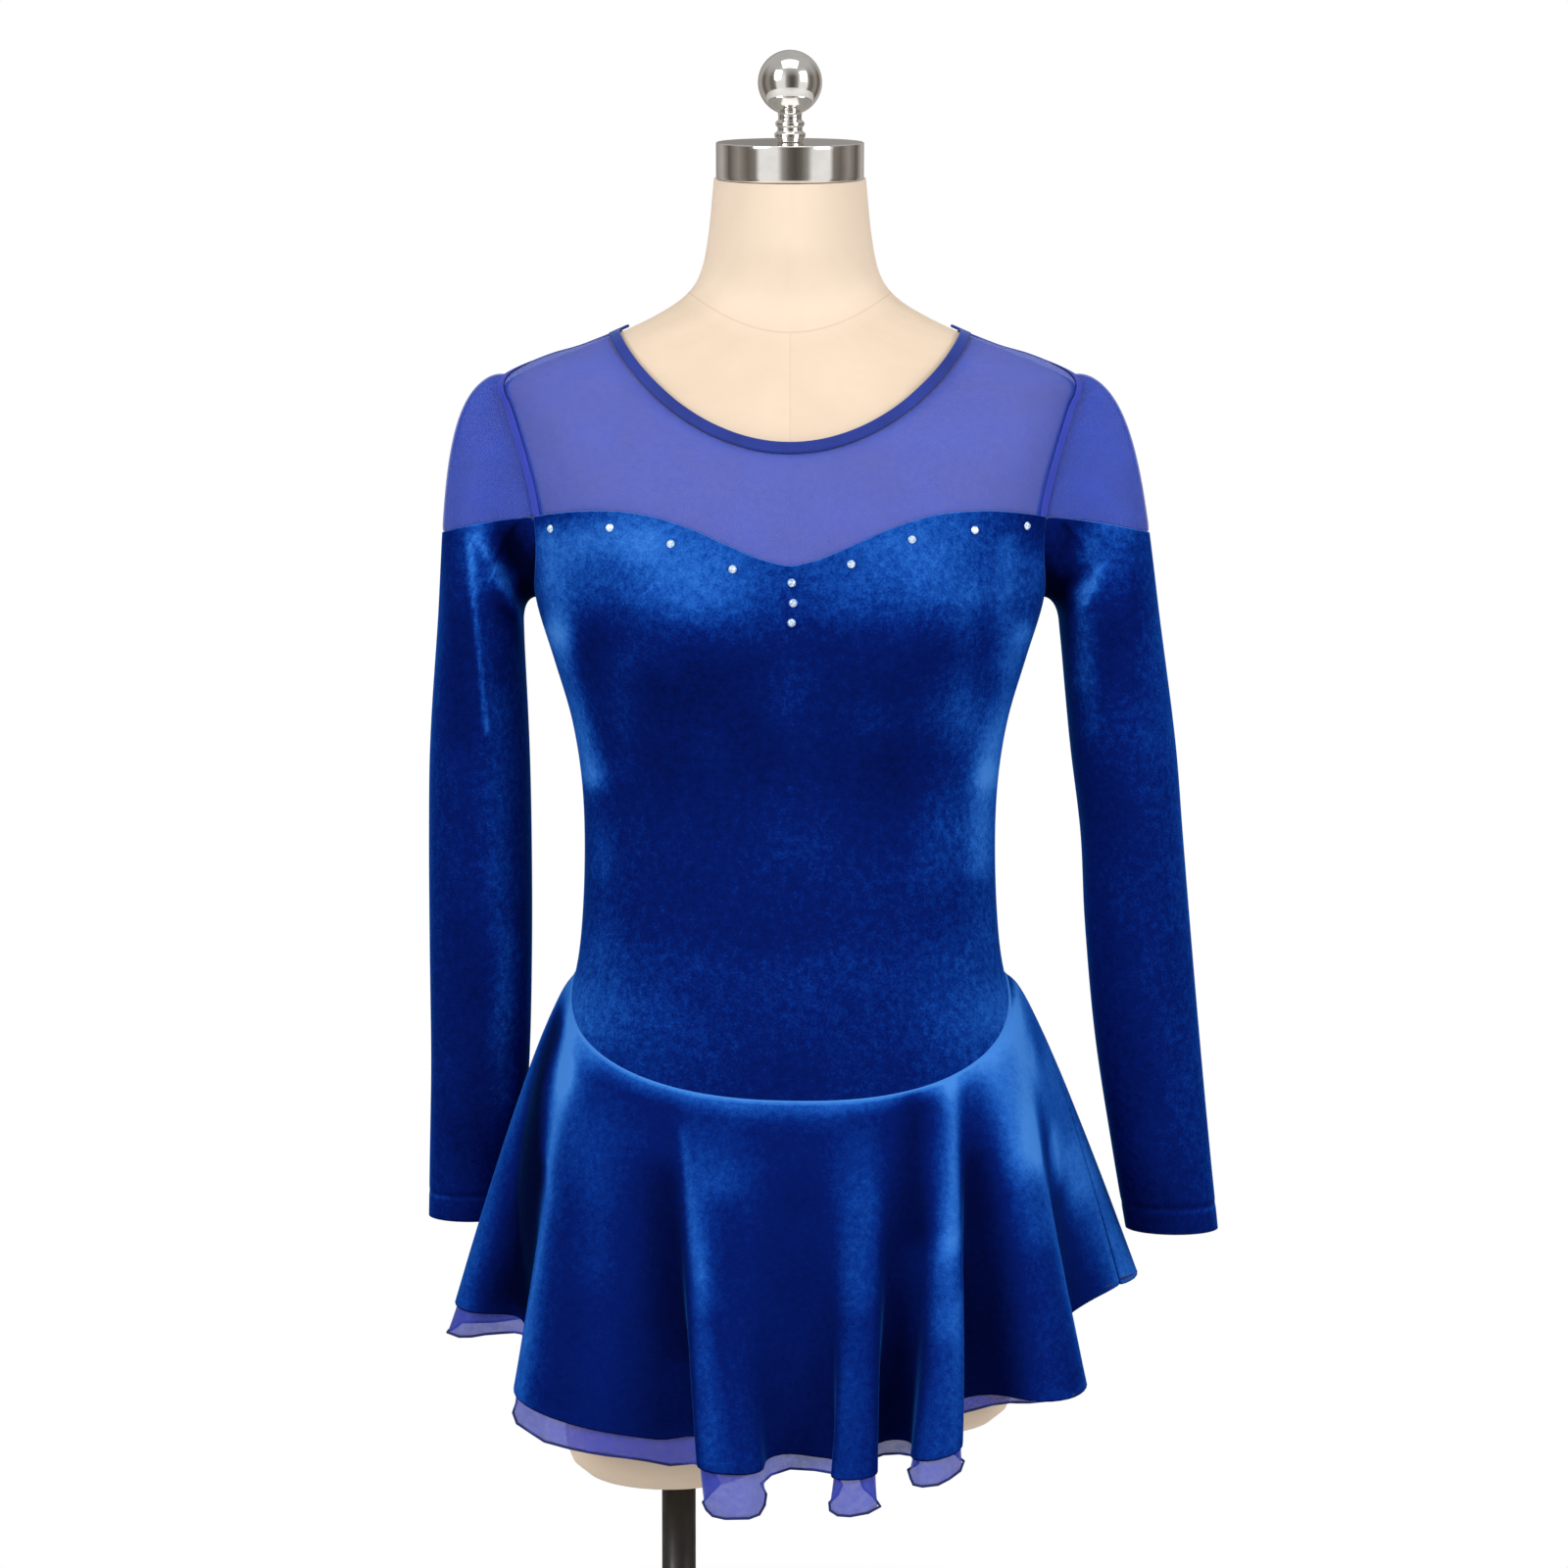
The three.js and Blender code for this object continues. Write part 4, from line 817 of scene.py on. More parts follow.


# Both velvets carry painted light from above; the skirt's is shifted 0.12 lower, a painted shade for lying
# further from the light.
VELVET_LOOK = make_velvet("royal_velvet", 0.0, 0.0013, 0.14)
SKIRT_LOOK = make_velvet("skirt_velvet", -0.12, 0.0011, 0.09)
NET_LOOK = make_sheer("stretch_net", (0.018, 0.075, 0.57), 0.49, 0.0011, 0.25, 0.6, 0.2)
# A darker, denser copy of the net for the sleeve caps: painted shade inside the caps.
SHADED_CAP_NET_LOOK = make_sheer("cap_net_painted_shade", (0.013, 0.052, 0.45), 0.65, 0.0011, 0.25, 0.6, 0.2)
CHIFFON_LOOK = make_sheer("chiffon", (0.03, 0.05, 0.42), 0.76, 0.0007, 0.3, 0.5, 0.2)
SEAM_LOOK = make_cloth(
    "net_seam", (0.026, 0.042, 0.38), (0.042, 0.062, 0.50), 0.0011, 0.6, 0.3, (0.3, 0.4, 1),
)
ROLL_LOOK = make_cloth(
    "rolled_edge", (0.004, 0.008, 0.07), (0.01, 0.02, 0.14), 0.0009, 0.6, 0.2, (0.3, 0.4, 1),
)
BINDING_LOOK = make_cloth(
    "binding", (0.004, 0.014, 0.16), (0.012, 0.036, 0.28), 0.0016, 0.6, 0.4, (0.25, 0.4, 1),
)
KNIT_LOOK = make_cloth(
    "briefs_knit", (0.003, 0.01, 0.12), (0.006, 0.022, 0.2), 0.001, 0.7, 0.5, (0.15, 0.35, 1),
)
JERSEY_LOOK = make_jersey()
CHROME_LOOK = make_metal("chrome", (0.80, 0.775, 0.745), 0.07, 1.0, 60.0)
STEEL_LOOK = make_metal("black_steel", (0.012, 0.011, 0.010), 0.32, 0.0, 90.0)
CRYSTAL_LOOK = make_crystal()


# ---- Dress form ----
def build_torso():
    angles = np.linspace(0, 360, 145)
    rounding = [(0.72, 12), (0.84, 9.5), (0.93, 5.5), (0.985, 2)]
    heights = np.concatenate([np.linspace(CROTCH, 960, 110), np.linspace(963, NECK_TOP, 66)])
    rows = []
    for z, scale, drop in [(CROTCH, *step) for step in rounding] + [(z, 1.0, 0) for z in heights]:
        ring = bare_body(angles, np.full(len(angles), float(z)))
        ring[:, :2] *= scale
        ring[:, 2] -= drop
        rows.append(ring)
    shape = woven(np.array(rows), closed=True)
    rims = [edge for edge in shape.edges if edge.is_boundary]
    bmesh.ops.holes_fill(shape, edges=rims, sides=0)
    bmesh.ops.recalc_face_normals(shape, faces=shape.faces)
    torso = finish_piece("form_body", shape, JERSEY_LOOK, ["form_torso"])

    for side, (x, y, bottom) in THIGHS.items():
        # A stump is turned one metre in radius, then drawn in to its oval.
        profile = [(0.0, 0.0), (0.4, 0.0), (0.62, 0.6), (0.8, 3.2), (0.92, 10), (0.97, 18), (0.985, 24)]
        profile += [(1.0, 40), (1.0, THIGH_TOP - bottom), (0.0, THIGH_TOP - bottom)]
        profile = [(radius / MM, up) for radius, up in profile]
        oval = Matrix.Diagonal((THIGH_HALF * MM, THIGH_DEEP * MM, 1, 1))
        place = Matrix.Translation((x * MM, y * MM, bottom * MM)) @ oval
        stump = turned(f"stump_{side}", profile, 72, place, JERSEY_LOOK, "form_cloth")
        union = torso.modifiers.new("thigh", "BOOLEAN")
        union.operation = "UNION"
        union.solver = "EXACT"
        union.object = stump
    whole = bpy.data.meshes.new_from_object(torso.evaluated_get(bpy.context.evaluated_depsgraph_get()))
    torso.modifiers.clear()
    torso.data = whole
    whole.polygons.foreach_set("use_smooth", [True] * len(whole.polygons))
    whole.set_sharp_from_angle(angle=math.radians(40))
    for side in THIGHS:
        bpy.data.objects.remove(bpy.data.objects[f"stump_{side}"])


def raised(profile, foot):
    return [(radius, foot + up) for radius, up in profile]


def build_cap_and_finial():
    _, front, back, _ = section(float(NECK_TOP))
    middle = Matrix.Translation((0, (back - front) / 2 * MM, NECK_TOP * MM))
    axis = middle @ Matrix.Rotation(NECK_TILT, 4, "X")
    cap = [
        (0, 0), (43.8, 0), (44.4, 0.25), (44.6, 0.8), (44.6, 3), (44.6, CAP_TALL - 3), (44.6, CAP_TALL - 0.8),
        (44.4, CAP_TALL - 0.25), (43.8, CAP_TALL), (40, CAP_TALL), (0, CAP_TALL),
    ]
    turned("cap", raised(cap, SEAM), 128, axis, CHROME_LOOK, "chrome", ["neck_cap"])
    stem = [
        (0, 0), (8.2, 0), (8.6, 0.6), (8.6, 2.0), (9.3, 3.0), (9.4, 4.0), (9.2, 5.0), (7.9, 6.0), (7.5, 7.0),
        (7.6, 8.6), (8.6, 9.6), (8.8, 10.8), (8.5, 11.8), (7.4, 12.6), (7.0, 13.6), (7.1, 15.0),
    ]
    turns = np.radians(np.linspace(22, 180, 40))
    ball = [(BALL_RADIUS * math.sin(a), BALL_UP - BALL_RADIUS * math.cos(a)) for a in turns]
    finial = raised(stem + ball, CAP_TALL + 2 * SEAM)
    turned("ball_finial", finial, 96, axis, CHROME_LOOK, "chrome", ["finial"])


def build_stand():
    base = [(0, 0), (149, 0), (150, 1), (150, 5.5), (149.6, 6.6), (148.8, 7.5), (147.5, 8), (0, 8)]
    turned("base", base, 128, Matrix.Identity(4), STEEL_LOOK, "black_steel", ["stand_base"])
    pole_place = Matrix.Translation((-69 * MM, 8 * MM, 0))
    foot = 8 + SEAM
    collar = [
        (10.8, 0), (23.4, 0), (24, 0.6), (24, 3.4), (23.4, 4.2), (17.5, 6.6), (15.5, 8.4), (14.7, 12),
        (14.5, 21.2), (14.0, 22), (10.8, 22), (10.8, 0),
    ]
    turned("collar", raised(collar, foot), 64, pole_place, STEEL_LOOK, "black_steel", ["pole_collar"])
    top = THIGHS["left"][2] - SEAM
    pole = [(0, foot), (10.5, foot), (10.5, top), (0, top)]
    turned("upright", pole, 48, pole_place, STEEL_LOOK, "black_steel", ["pole"])


# ---- Edges, creases and painted light on the pile ----
def tuck_under(points, depth):
    """Carries a panel's lowest row on behind the piece that it is sewn to, depth millimetres inwards."""
    normals = grid_normals(points)
    onwards = unit(points[0] - points[1])
    allowance = [points[0] + onwards * TUCK * share - normals[0] * depth for share in (1, 0.25)]
    return np.concatenate([allowance, points])


def near_line(places, start, end, width):
    """How near flat points are to a line, from 1 on it to 0 well away, and how far along it, as a share."""
    start, end = np.array(start, float), np.array(end, float)
    along = end - start
    from_start = places - start
    share = np.clip((from_start @ along) / (along @ along), 0, 1)
    distance = np.linalg.norm(from_start - share[..., None] * along, axis=-1)
    return bell(distance / width), share


def facing(normals, side):
    """How squarely the cloth faces the front or the back, from 0 to 1."""
    return smooth((-normals[..., 1] if side == "front" else normals[..., 1]) * 3)


def paint_light_strokes(places, strokes):
    """Painted highlights (above 0) and painted shade (below 0) along strokes: two ends, amount and width of
    each stroke.
    """
    painted_light = np.zeros(places.shape[:-1])
    for start, end, amount, width in strokes:
        painted_light += amount * near_line(places, start, end, width)[0]
    return painted_light


def creased(points, normals, creases):
    """Raises a soft ridge, or presses a trough, along each crease's line."""
    for side, start, end, depth, width in creases:
        near, share = near_line(points[..., [0, 2]], start, end, width)
        fade = np.sin(math.pi * np.clip(share, 0.02, 0.98)) ** 0.7
        points = points + normals * (depth * near * fade * facing(normals, side))[..., None]
    return points


def facing_out(points):
    """Turns a grid's columns round if its faces would look inwards."""
    outwards = points - np.array([0, 0, 1]) * points[..., 2:] - np.array([0, 15, 0])
    return points if (grid_normals(points) * outwards).sum() > 0 else points[:, ::-1]


# ---- Torso panels ----
def build_panels():
    tapes = build_seam_tapes()
    for side, is_back in (("front", False), ("back", True)):
        angle, z = bodice_grid(is_back, 100)
        points = on_cloth(angle, z, VELVET)
        # Painted highlights and shade on the bodice's velvet.
        painted_light = paint_light_strokes(points[..., [0, 2]], PAINTED_LIGHT_STROKES[f"bodice_{side}"])
        replaces = [f"bodice_{side}"]
        bodice = cloth(
            f"velvet_bodice_{side}", points, VELVET, VELVET_LOOK, replaces, shade=painted_light, edge=1.0,
        )

        angle, z = yoke_grid(is_back, 90)
        points = tuck_under(on_cloth(angle, z, NET), NET + 0.15)
        yoke = cloth(f"net_yoke_{side}", points, NET, NET_LOOK, [f"yoke_{side}"])

        heights = np.linspace(LEG_SIDE, SIDE_SEAM_Z, 18)
        edge = angle_at_depth(np.full(18, (1 if is_back else -1) * SEAM / 2), heights)
        u = even_columns(560, 60, is_back)
        angle = spread(edge[:, None], u[None], is_back)
        leg = lerp(LEG_SIDE, LEG_CROTCH, smooth(1 - (np.abs(u) - 0.2) / 0.8))
        share = np.linspace(0, 1, 18)[:, None]
        z = lerp(leg[None], skirt_seam_z(angle) - SEAM / 2, share)
        points = on_cloth(angle, z, KNIT)
        brief = cloth(f"knit_briefs_{side}", points, KNIT, KNIT_LOOK, [f"briefs_{side}"])


def build_seam_tapes():
    """Doubled net along the armholes and the shoulder seams."""
    tapes = []
    b = np.linspace(104, -104, 94)
    rows = [armhole_point(b, grow, NET + 0.45) for grow in np.linspace(0.2, ARM_TAPE, 5)]
    z = np.linspace(986, 1008, 24)
    depths = (-1.6, -0.8, 0.0, 0.8, 1.6)
    ridge = [on_cloth(angle_at_depth(np.full(24, depth), z), z, NET + 0.4) for depth in depths]
    for side, name in ((-1, "left"), (1, "right")):
        for kind, points in (("armhole", np.array(rows)), ("shoulder", np.array(ridge))):
            points = facing_out(points * np.array([side, 1, 1]))
            tapes.append(cloth(f"{kind}_tape_{name}", points, 0.4, SEAM_LOOK))
    return tapes


def build_binding():
    fold = BINDING_THICK / 2
    turns = np.radians((0, 36, 72, 108, 144, 180))
    rounding = [(BINDING_WIDE, BINDING_THICK), (BINDING_WIDE * 0.5, BINDING_THICK)]
    rounding += [(fold - fold * math.sin(a), fold + fold * math.cos(a)) for a in turns]
    rounding += [(BINDING_WIDE * 0.5, 0), (BINDING_WIDE, 0)]
    front = even_columns(1000, 90, False) * 90
    back = even_columns(1000, 90, True) * 90
    rows = []
    for away, out in rounding:
        a, za = neckline_at(front, away, "front")
        b, zb = neckline_at(back[1:], away, "back")
        angle, z = np.concatenate([a, b]), np.concatenate([za, zb])
        rows.append(on_cloth(angle, z, np.full(len(angle), out)))
    points = np.array(rows)
    points[:, -1] = points[:, 0]
    piece = cloth("neck_binding_strip", points, 0.5, BINDING_LOOK, ["neck_binding"], closed=True)


# ---- Sleeves ----
def sleeve_ring(table, z, b):
    x, y, half, deep = (curve_through(table[:, 0], table[:, k], z) for k in (1, 2, 3, 4))
    turn = np.radians(b)
    return np.stack(np.broadcast_arrays(x + half * np.cos(turn), y - deep * np.sin(turn), z), axis=-1)


def sleeve_head(table, b, share):
    """The sleeve from the armhole, at share 0, to its first level section, at share 1."""
    b, share = np.broadcast_arrays(np.asarray(b, float), share)
    lower = (1 - np.cos(np.radians(b))) / 2
    outer = 1 - lower
    start = armhole_point(b, -SEAM / 2 - UNDERARM_GAP * lower**2, 0.3)
    join = np.full(b.shape, float(SLEEVE_JOIN))
    end = sleeve_ring(table, join, b)
    zero = np.zeros(b.shape)
    leave = np.stack([lerp(CAP_LIFT_LEAST, CAP_LIFT_MOST, outer), zero, CAP_LIFT_UP * outer**2], axis=-1)
    arrive = (sleeve_ring(table, join - 1, b) - end) * lerp(CAP_FALL_LEAST, CAP_FALL_MOST, outer)[..., None]
    s = share[..., None]
    s2, s3 = s * s, s**3
    point = (2 * s3 - 3 * s2 + 1) * start + (s3 - 2 * s2 + s) * leave
    point = point + (3 * s2 - 2 * s3) * end + (s3 - s2) * arrive
    across = (np.abs(b) - UNDERARM_AT) / UNDERARM_WIDE
    along = (share - UNDERARM_DOWN) / UNDERARM_LONG
    point[..., 1] += np.sign(b) * UNDERARM_DEEP * bell(across) * bell(along)
    return point


def net_end(table, b):
    """The share of the way down the sleeve head at which the net ends."""
    edge = (1 - np.cos(np.radians(b))) / (1 - math.cos(math.radians(YOKE_CORNER)))
    z = lerp(NET_END_OUTER, NET_END_CORNER, edge)
    low, high = np.zeros(len(b)), np.ones(len(b))
    for _ in range(24):
        middle = (low + high) / 2
        above = sleeve_head(table, b, middle)[..., 2] > z
        low, high = np.where(above, middle, low), np.where(above, high, middle)
    return low


# Soft creases in the sleeves, each in front or behind: its two ends as x and z, height and width.
CREASES = {
    "left": [
        ("front", (-194, 890), (-186, 790), 2.2, 3.6), ("front", (-188, 890), (-157, 815), 3.0, 4.2),
        ("front", (-174, 880), (-154, 850), -2.8, 6.0), ("front", (-205, 700), (-200, 640), 0.9, 6.0),
        ("front", (-180, 640), (-186, 560), -1.0, 7.0), ("front", (-212, 560), (-206, 505), 0.8, 6.0),
        ("back", (-180, 880), (-160, 820), 2.0, 6.0), ("back", (-200, 850), (-188, 760), 1.4, 6.0),
        ("back", (-176, 650), (-184, 560), -1.2, 7.0),
    ],
    "right": [
        ("front", (188, 868), (172, 834), 1.6, 3.0), ("front", (203, 885), (203, 790), 1.5, 5.0),
        ("front", (182, 868), (160, 848), -2.0, 5.0), ("front", (218, 640), (222, 550), 1.3, 5.0),
        ("front", (196, 740), (200, 650), -1.0, 6.0), ("front", (231, 560), (236, 500), 0.9, 5.0),
        ("back", (180, 875), (166, 822), 2.0, 6.0), ("back", (206, 850), (200, 770), 1.4, 6.0),
        ("back", (214, 640), (224, 560), -1.2, 7.0),
    ],
}


def build_sleeve(name):
    side = -1 if name == "left" else 1
    table = SLEEVES[name]
    mirror = np.array([side, 1, 1])
    below = np.linspace(180, YOKE_CORNER + 0.1, 20)
    beside = np.linspace(YOKE_CORNER - 0.5, 0.5 - YOKE_CORNER, 51)
    around = np.concatenate([below, beside, -below[::-1]]) * side
    covered = np.abs(around) < YOKE_CORNER
    end = np.where(covered, net_end(table, around), 0)
    # Half a seam, as a share of the sleeve head's length of about 60 mm.
    apart = SEAM / 2 / 60
    bottom = table[0, 0]
    cuff = np.linspace(bottom, bottom + 24, 13)
    heights = np.concatenate([cuff, np.linspace(bottom + 30, SLEEVE_JOIN, 50)])
    tube = np.array([sleeve_ring(table, np.full(len(around), z), around) for z in heights])
    shares = np.append(np.linspace(1, 0, 16)[1:-1], (0.015, 0))
    end = end + np.where(covered, apart, 0)
    head = np.array([sleeve_head(table, around, lerp(end, 1, s)) for s in shares])
    points = np.concatenate([tube, head]) * mirror
    normals = grid_normals(points, closed=True)
    # The hem's stitches press a groove into the cuff.
    up = points[..., 2] - bottom
    groove = 0.5 * bell((up - CUFF_STITCH) / 1.1) * (points[..., 2] < 560)
    points = creased(points - normals * groove[..., None], normals, CREASES[name])
    # Painted highlights and shade on the sleeve's velvet.
    painted_light = paint_light_strokes(points[..., [0, 2]], PAINTED_LIGHT_STROKES[f"sleeve_{name}"])
    replaces = [f"sleeve_{name}"]
    sleeve = cloth(
        f"velvet_sleeve_{name}", points, VELVET, VELVET_LOOK, replaces, closed=True, shade=painted_light,
    )

    b = np.linspace(104.6, -104.6, 41) * side
    cut = net_end(table, b) - apart
    points = np.array([sleeve_head(table, b, s * cut) for s in np.linspace(1, 0, 22)]) * mirror
    points = tuck_under(points, VELVET + 0.2)
    # The caps take the darker copy of the net, a painted shade.
    cap = cloth(f"net_cap_{name}", points, NET, SHADED_CAP_NET_LOOK, [f"sleeve_cap_{name}"])


# ---- Skirt ----
def fold_at(angle, t):
    """How far the cloth reaches out and sideways at share t of its length, the longer way it takes, and how
    deep in a valley it lies, for the painted shade.
    """
    i = np.clip(np.searchsorted(FOLDS[:, 0], angle, side="right"), 1, len(FOLDS) - 1)
    before, after = FOLDS[i - 1], FOLDS[i]
    q = (angle - before[..., 0]) / (after[..., 0] - before[..., 0])
    falling = before[..., 1] > after[..., 1]
    crest = np.where(falling[..., None], before, after)
    valley = np.where(falling[..., None], after, before)
    from_crest = np.where(falling, q, 1 - q)
    to_side = np.sin(np.radians(angle)) ** 2
    flare = lerp(FLARE_FRONT, FLARE_SIDE, to_side)
    start = lerp(FLARE_START, np.where(angle > 0, FLARE_START_RIGHT, FLARE_START_LEFT), to_side)
    from_seam = FLARE_SOFT**start
    flared = flare * ((t + FLARE_SOFT) ** start - from_seam) / ((1 + FLARE_SOFT) ** start - from_seam)
    high = flared + (crest[..., 1] - flare) * t ** crest[..., 3]
    low = flared + (valley[..., 1] - flare) * t ** valley[..., 3]
    crest_share = (1 + np.cos(math.pi * from_crest)) / 2
    curl = CURL * (high - low) * t * np.sin(math.tau * from_crest) * np.where(falling, 1, -1)
    sideways = curl + lerp(valley[..., 2], crest[..., 2], crest_share) * t * t
    way = high * (1 + VALLEY_LIFT * (1 - crest_share))
    return lerp(low, high, crest_share), sideways, way, (1 - crest_share) * smooth(t * 3)


def clear_of_body(points, margin):
    """Moves points outwards that are nearer the body than the margin, and those just beyond it a little."""
    half, front, back, square = section(points[..., 2])
    depth = np.where(points[..., 1] < 0, front, back) + margin
    across, ahead = np.abs(points[..., 0]) / (half + margin), np.abs(points[..., 1]) / depth
    share = (across**square + ahead**square) ** (1 / square)
    near = share - 1
    kept = np.where(share < 1.2, (share + 1 + np.sqrt(near * near + 0.0004)) / 2, share)
    moved = points.copy()
    moved[..., :2] *= (kept / share)[..., None]
    return moved


def wrap(angle):
    return (angle + 540) % 360 - 180


def skirt_rows(angle, shares):
    """The skirt's outer face: one row of points for each share of the cloth's length, from the joint down."""
    angle = wrap(angle)
    seam_z = skirt_seam_z(angle) - SEAM / 2
    start = on_body(angle, seam_z, EASE + KNIT + 2 * SEAM + VELVET)
    normal = body_normal(angle, seam_z)
    normal[:, 2] = 0
    normal = unit(normal)
    along = np.stack([-normal[:, 1], normal[:, 0], np.zeros(len(angle))], axis=-1)
    fallen, before, u = np.zeros(len(angle)), np.zeros(len(angle)), np.zeros(len(angle))
    rows = []
    for t in (np.broadcast_to(share, angle.shape) for share in shares):
        strides = max(1, math.ceil(float(np.max(t - u)) * 60))
        for k in range(strides):
            at = u + (t - u) * (k + 1) / strides
            way = fold_at(angle, at)[2]
            path = SKIRT_LENGTH * (t - u) / strides
            fallen = fallen + np.sqrt(np.maximum((0.25 * path) ** 2, path**2 - (way - before) ** 2))
            before = way
        u = t
        reach, sideways, _, _ = fold_at(angle, t)
        points = start + normal * reach[:, None] + along * sideways[:, None]
        points[:, 2] -= fallen
        rows.append(lerp(points, clear_of_body(points, CLEAR), smooth(t / CLEAR_BY)[:, None]))
    return np.array(rows)


def fold_columns(first, last, per_fold):
    """Angles from first to last, with as many columns in each fold however wide it is."""
    inside = np.concatenate([
        np.linspace(a, b, per_fold, endpoint=False) for a, b in zip(FOLDS[:-1, 0], FOLDS[1:, 0])
    ])
    both = np.sort(np.concatenate([inside, inside + 360]))
    return np.concatenate([[first], both[(both > first + 0.6) & (both < last - 0.6)], [last]])


def build_skirt(name, first, last):
    angle = fold_columns(first + SIDE_GAP, last - SIDE_GAP, 8)
    length = 1 + curve_through(HEM[:, 0], HEM[:, 1], wrap(angle)) / SKIRT_LENGTH
    shares = np.concatenate([[0, 0.004, 0.01, 0.02, 0.035], np.linspace(0.055, 0.98, 31), [0.993, 1.0]])
    down = skirt_rows(angle, [share * length for share in shares])
    # The joint's seam allowance is turned in, which rolls the top edge of the skirt.
    normal = body_normal(wrap(angle), skirt_seam_z(wrap(angle)))
    for row, tuck in enumerate(JOINT_TUCK):
        down[row] -= normal * tuck
    down[0, :, 2] += SEAM / 2 + JOINT_LAP
    # Painted shade in the fold valleys, painted highlights and shade from the strokes, and a painted
    # highlight on the joint's two top rows.
    valley = np.array([fold_at(wrap(angle), share * length)[3] for share in shares])
    across, percent = np.meshgrid(wrap(angle), shares * 100)
    painted_light = paint_light_strokes(np.stack([across, percent], axis=-1), PAINTED_LIGHT_STROKES["skirt"]) - VALLEY_SHADE * valley**1.5
    painted_light[:2] += np.array(JOINT_PAINTED_HIGHLIGHT)[:, None]
    skirt = cloth(
        f"velvet_skirt_{name}", down[::-1], VELVET, SKIRT_LOOK, [f"skirt_{name}"], shade=painted_light[::-1],
    )

    drop = curve_through(UNDERSKIRT_DROP[:, 0], UNDERSKIRT_DROP[:, 1], wrap(angle)) / SKIRT_LENGTH
    under_shares = [length * s for s in (0.0, 0.05, 0.12, 0.2, 0.3, 0.4, 0.5, 0.6, 0.7, 0.8, 0.88)]
    under_shares += [lerp(0.88 * length, length + drop, k) for k in np.linspace(0.15, 1, 9)]
    under = skirt_rows(angle, under_shares)[::-1]
    normals = grid_normals(under)
    under = under - normals * (VELVET + UNDERSKIRT_GAP)
    low = np.linspace(1, 0, len(under))[:, None] ** 6
    # The hem's small waves: two lengths of wave laid over each other.
    phase = np.cumsum(np.concatenate([[0], np.linalg.norm(np.diff(under[0], axis=0), axis=1)]))
    ruffle = 2.2 * np.sin(phase / 5.3) + 1.4 * np.sin(phase / 8.9 + 1.0)
    under = under + normals * (low * ruffle[None])[..., None]
    replaces = [f"underskirt_{name}"]
    piece = cloth(f"chiffon_underskirt_{name}", under, CHIFFON, CHIFFON_LOOK, replaces)
    roll = cord_along(f"rolled_edge_{name}", under[0] - normals[0] * CHIFFON / 2, 0.8, ROLL_LOOK)


# ---- Stones ----
def build_stones():
    for name, (x, below) in STONES.items():
        z = float(curve_through(SWEETHEART[:, 0], SWEETHEART[:, 1], abs(x)) - below)
        angle = float(angle_at_width(np.array(float(x)), np.array(z)))
        normal = Vector(body_normal(np.array([angle]), np.array([z]))[0])
        foot = Vector(on_body([angle], np.array([z]), np.array([EASE + VELVET + SEAM]))[0]) * MM
        shape = bmesh.new()
        bmesh.ops.create_cone(
            shape, cap_ends=True, cap_tris=False, segments=12, radius1=STONE_RADIUS * MM,
            radius2=STONE_TABLE * MM, depth=(STONE_HEIGHT - STONE_RIM) * MM,
        )
        bmesh.ops.translate(shape, verts=shape.verts, vec=(0, 0, (STONE_HEIGHT + STONE_RIM) / 2 * MM))
        girdle = [face for face in shape.faces if face.normal.z < -0.9]
        lower = bmesh.ops.extrude_face_region(shape, geom=girdle)["geom"]
        lower = [part for part in lower if isinstance(part, bmesh.types.BMVert)]
        bmesh.ops.translate(shape, verts=lower, vec=(0, 0, -STONE_RIM * MM))
        bmesh.ops.delete(shape, geom=girdle, context="FACES")
        bmesh.ops.bevel(
            shape, geom=shape.edges[:], offset=0.12 * MM, segments=1, profile=0.5, affect="EDGES",
            material=-1,
        )
        turn = normal.to_track_quat("Z", "Y").to_matrix().to_4x4()
        bmesh.ops.transform(shape, matrix=Matrix.Translation(foot) @ turn, verts=shape.verts)
        bmesh.ops.recalc_face_normals(shape, faces=shape.faces)
        replaces = [f"crystal_{name}"]
        finish_piece(f"stone_{name}", shape, CRYSTAL_LOOK, replaces, smooth_shading=False)


# ---- Studio ----
# The room around the studio, by degrees away from straight ahead: how light it is, and how warm.
ROOM = (
    (0, 0.09, 0.2), (9, 0.14, 0.2), (20, 0.34, 0.1), (28, 0.95, 0.0), (57, 0.95, 0.0), (64, 0.24, 0.15),
    (78, 0.16, 0.25), (96, 0.34, 0.15), (118, 0.12, 0.3), (140, 0.5, 0.1), (180, 0.26, 0.1),
)
# The lamps: place, size and watts, in metres.
LAMPS = {
    "key": ((-1.9, -1.9, 2.1), (1.2, 1.6), 49),
    "fill": ((2.1, -1.7, 1.9), (1.2, 1.6), 41),
    "top": ((0.0, -0.8, 2.8), (1.6, 1.2), 8),
}
LIT_PLACE = (0, 0, 0.75)
CAMERA_AWAY, CAMERA_RISE, CAMERA_X, CAMERA_Z = 2500, 180, -3.6, 915


def added(name, data):
    thing = bpy.data.objects.new(name, data)
    bpy.context.scene.collection.objects.link(thing)
    return thing


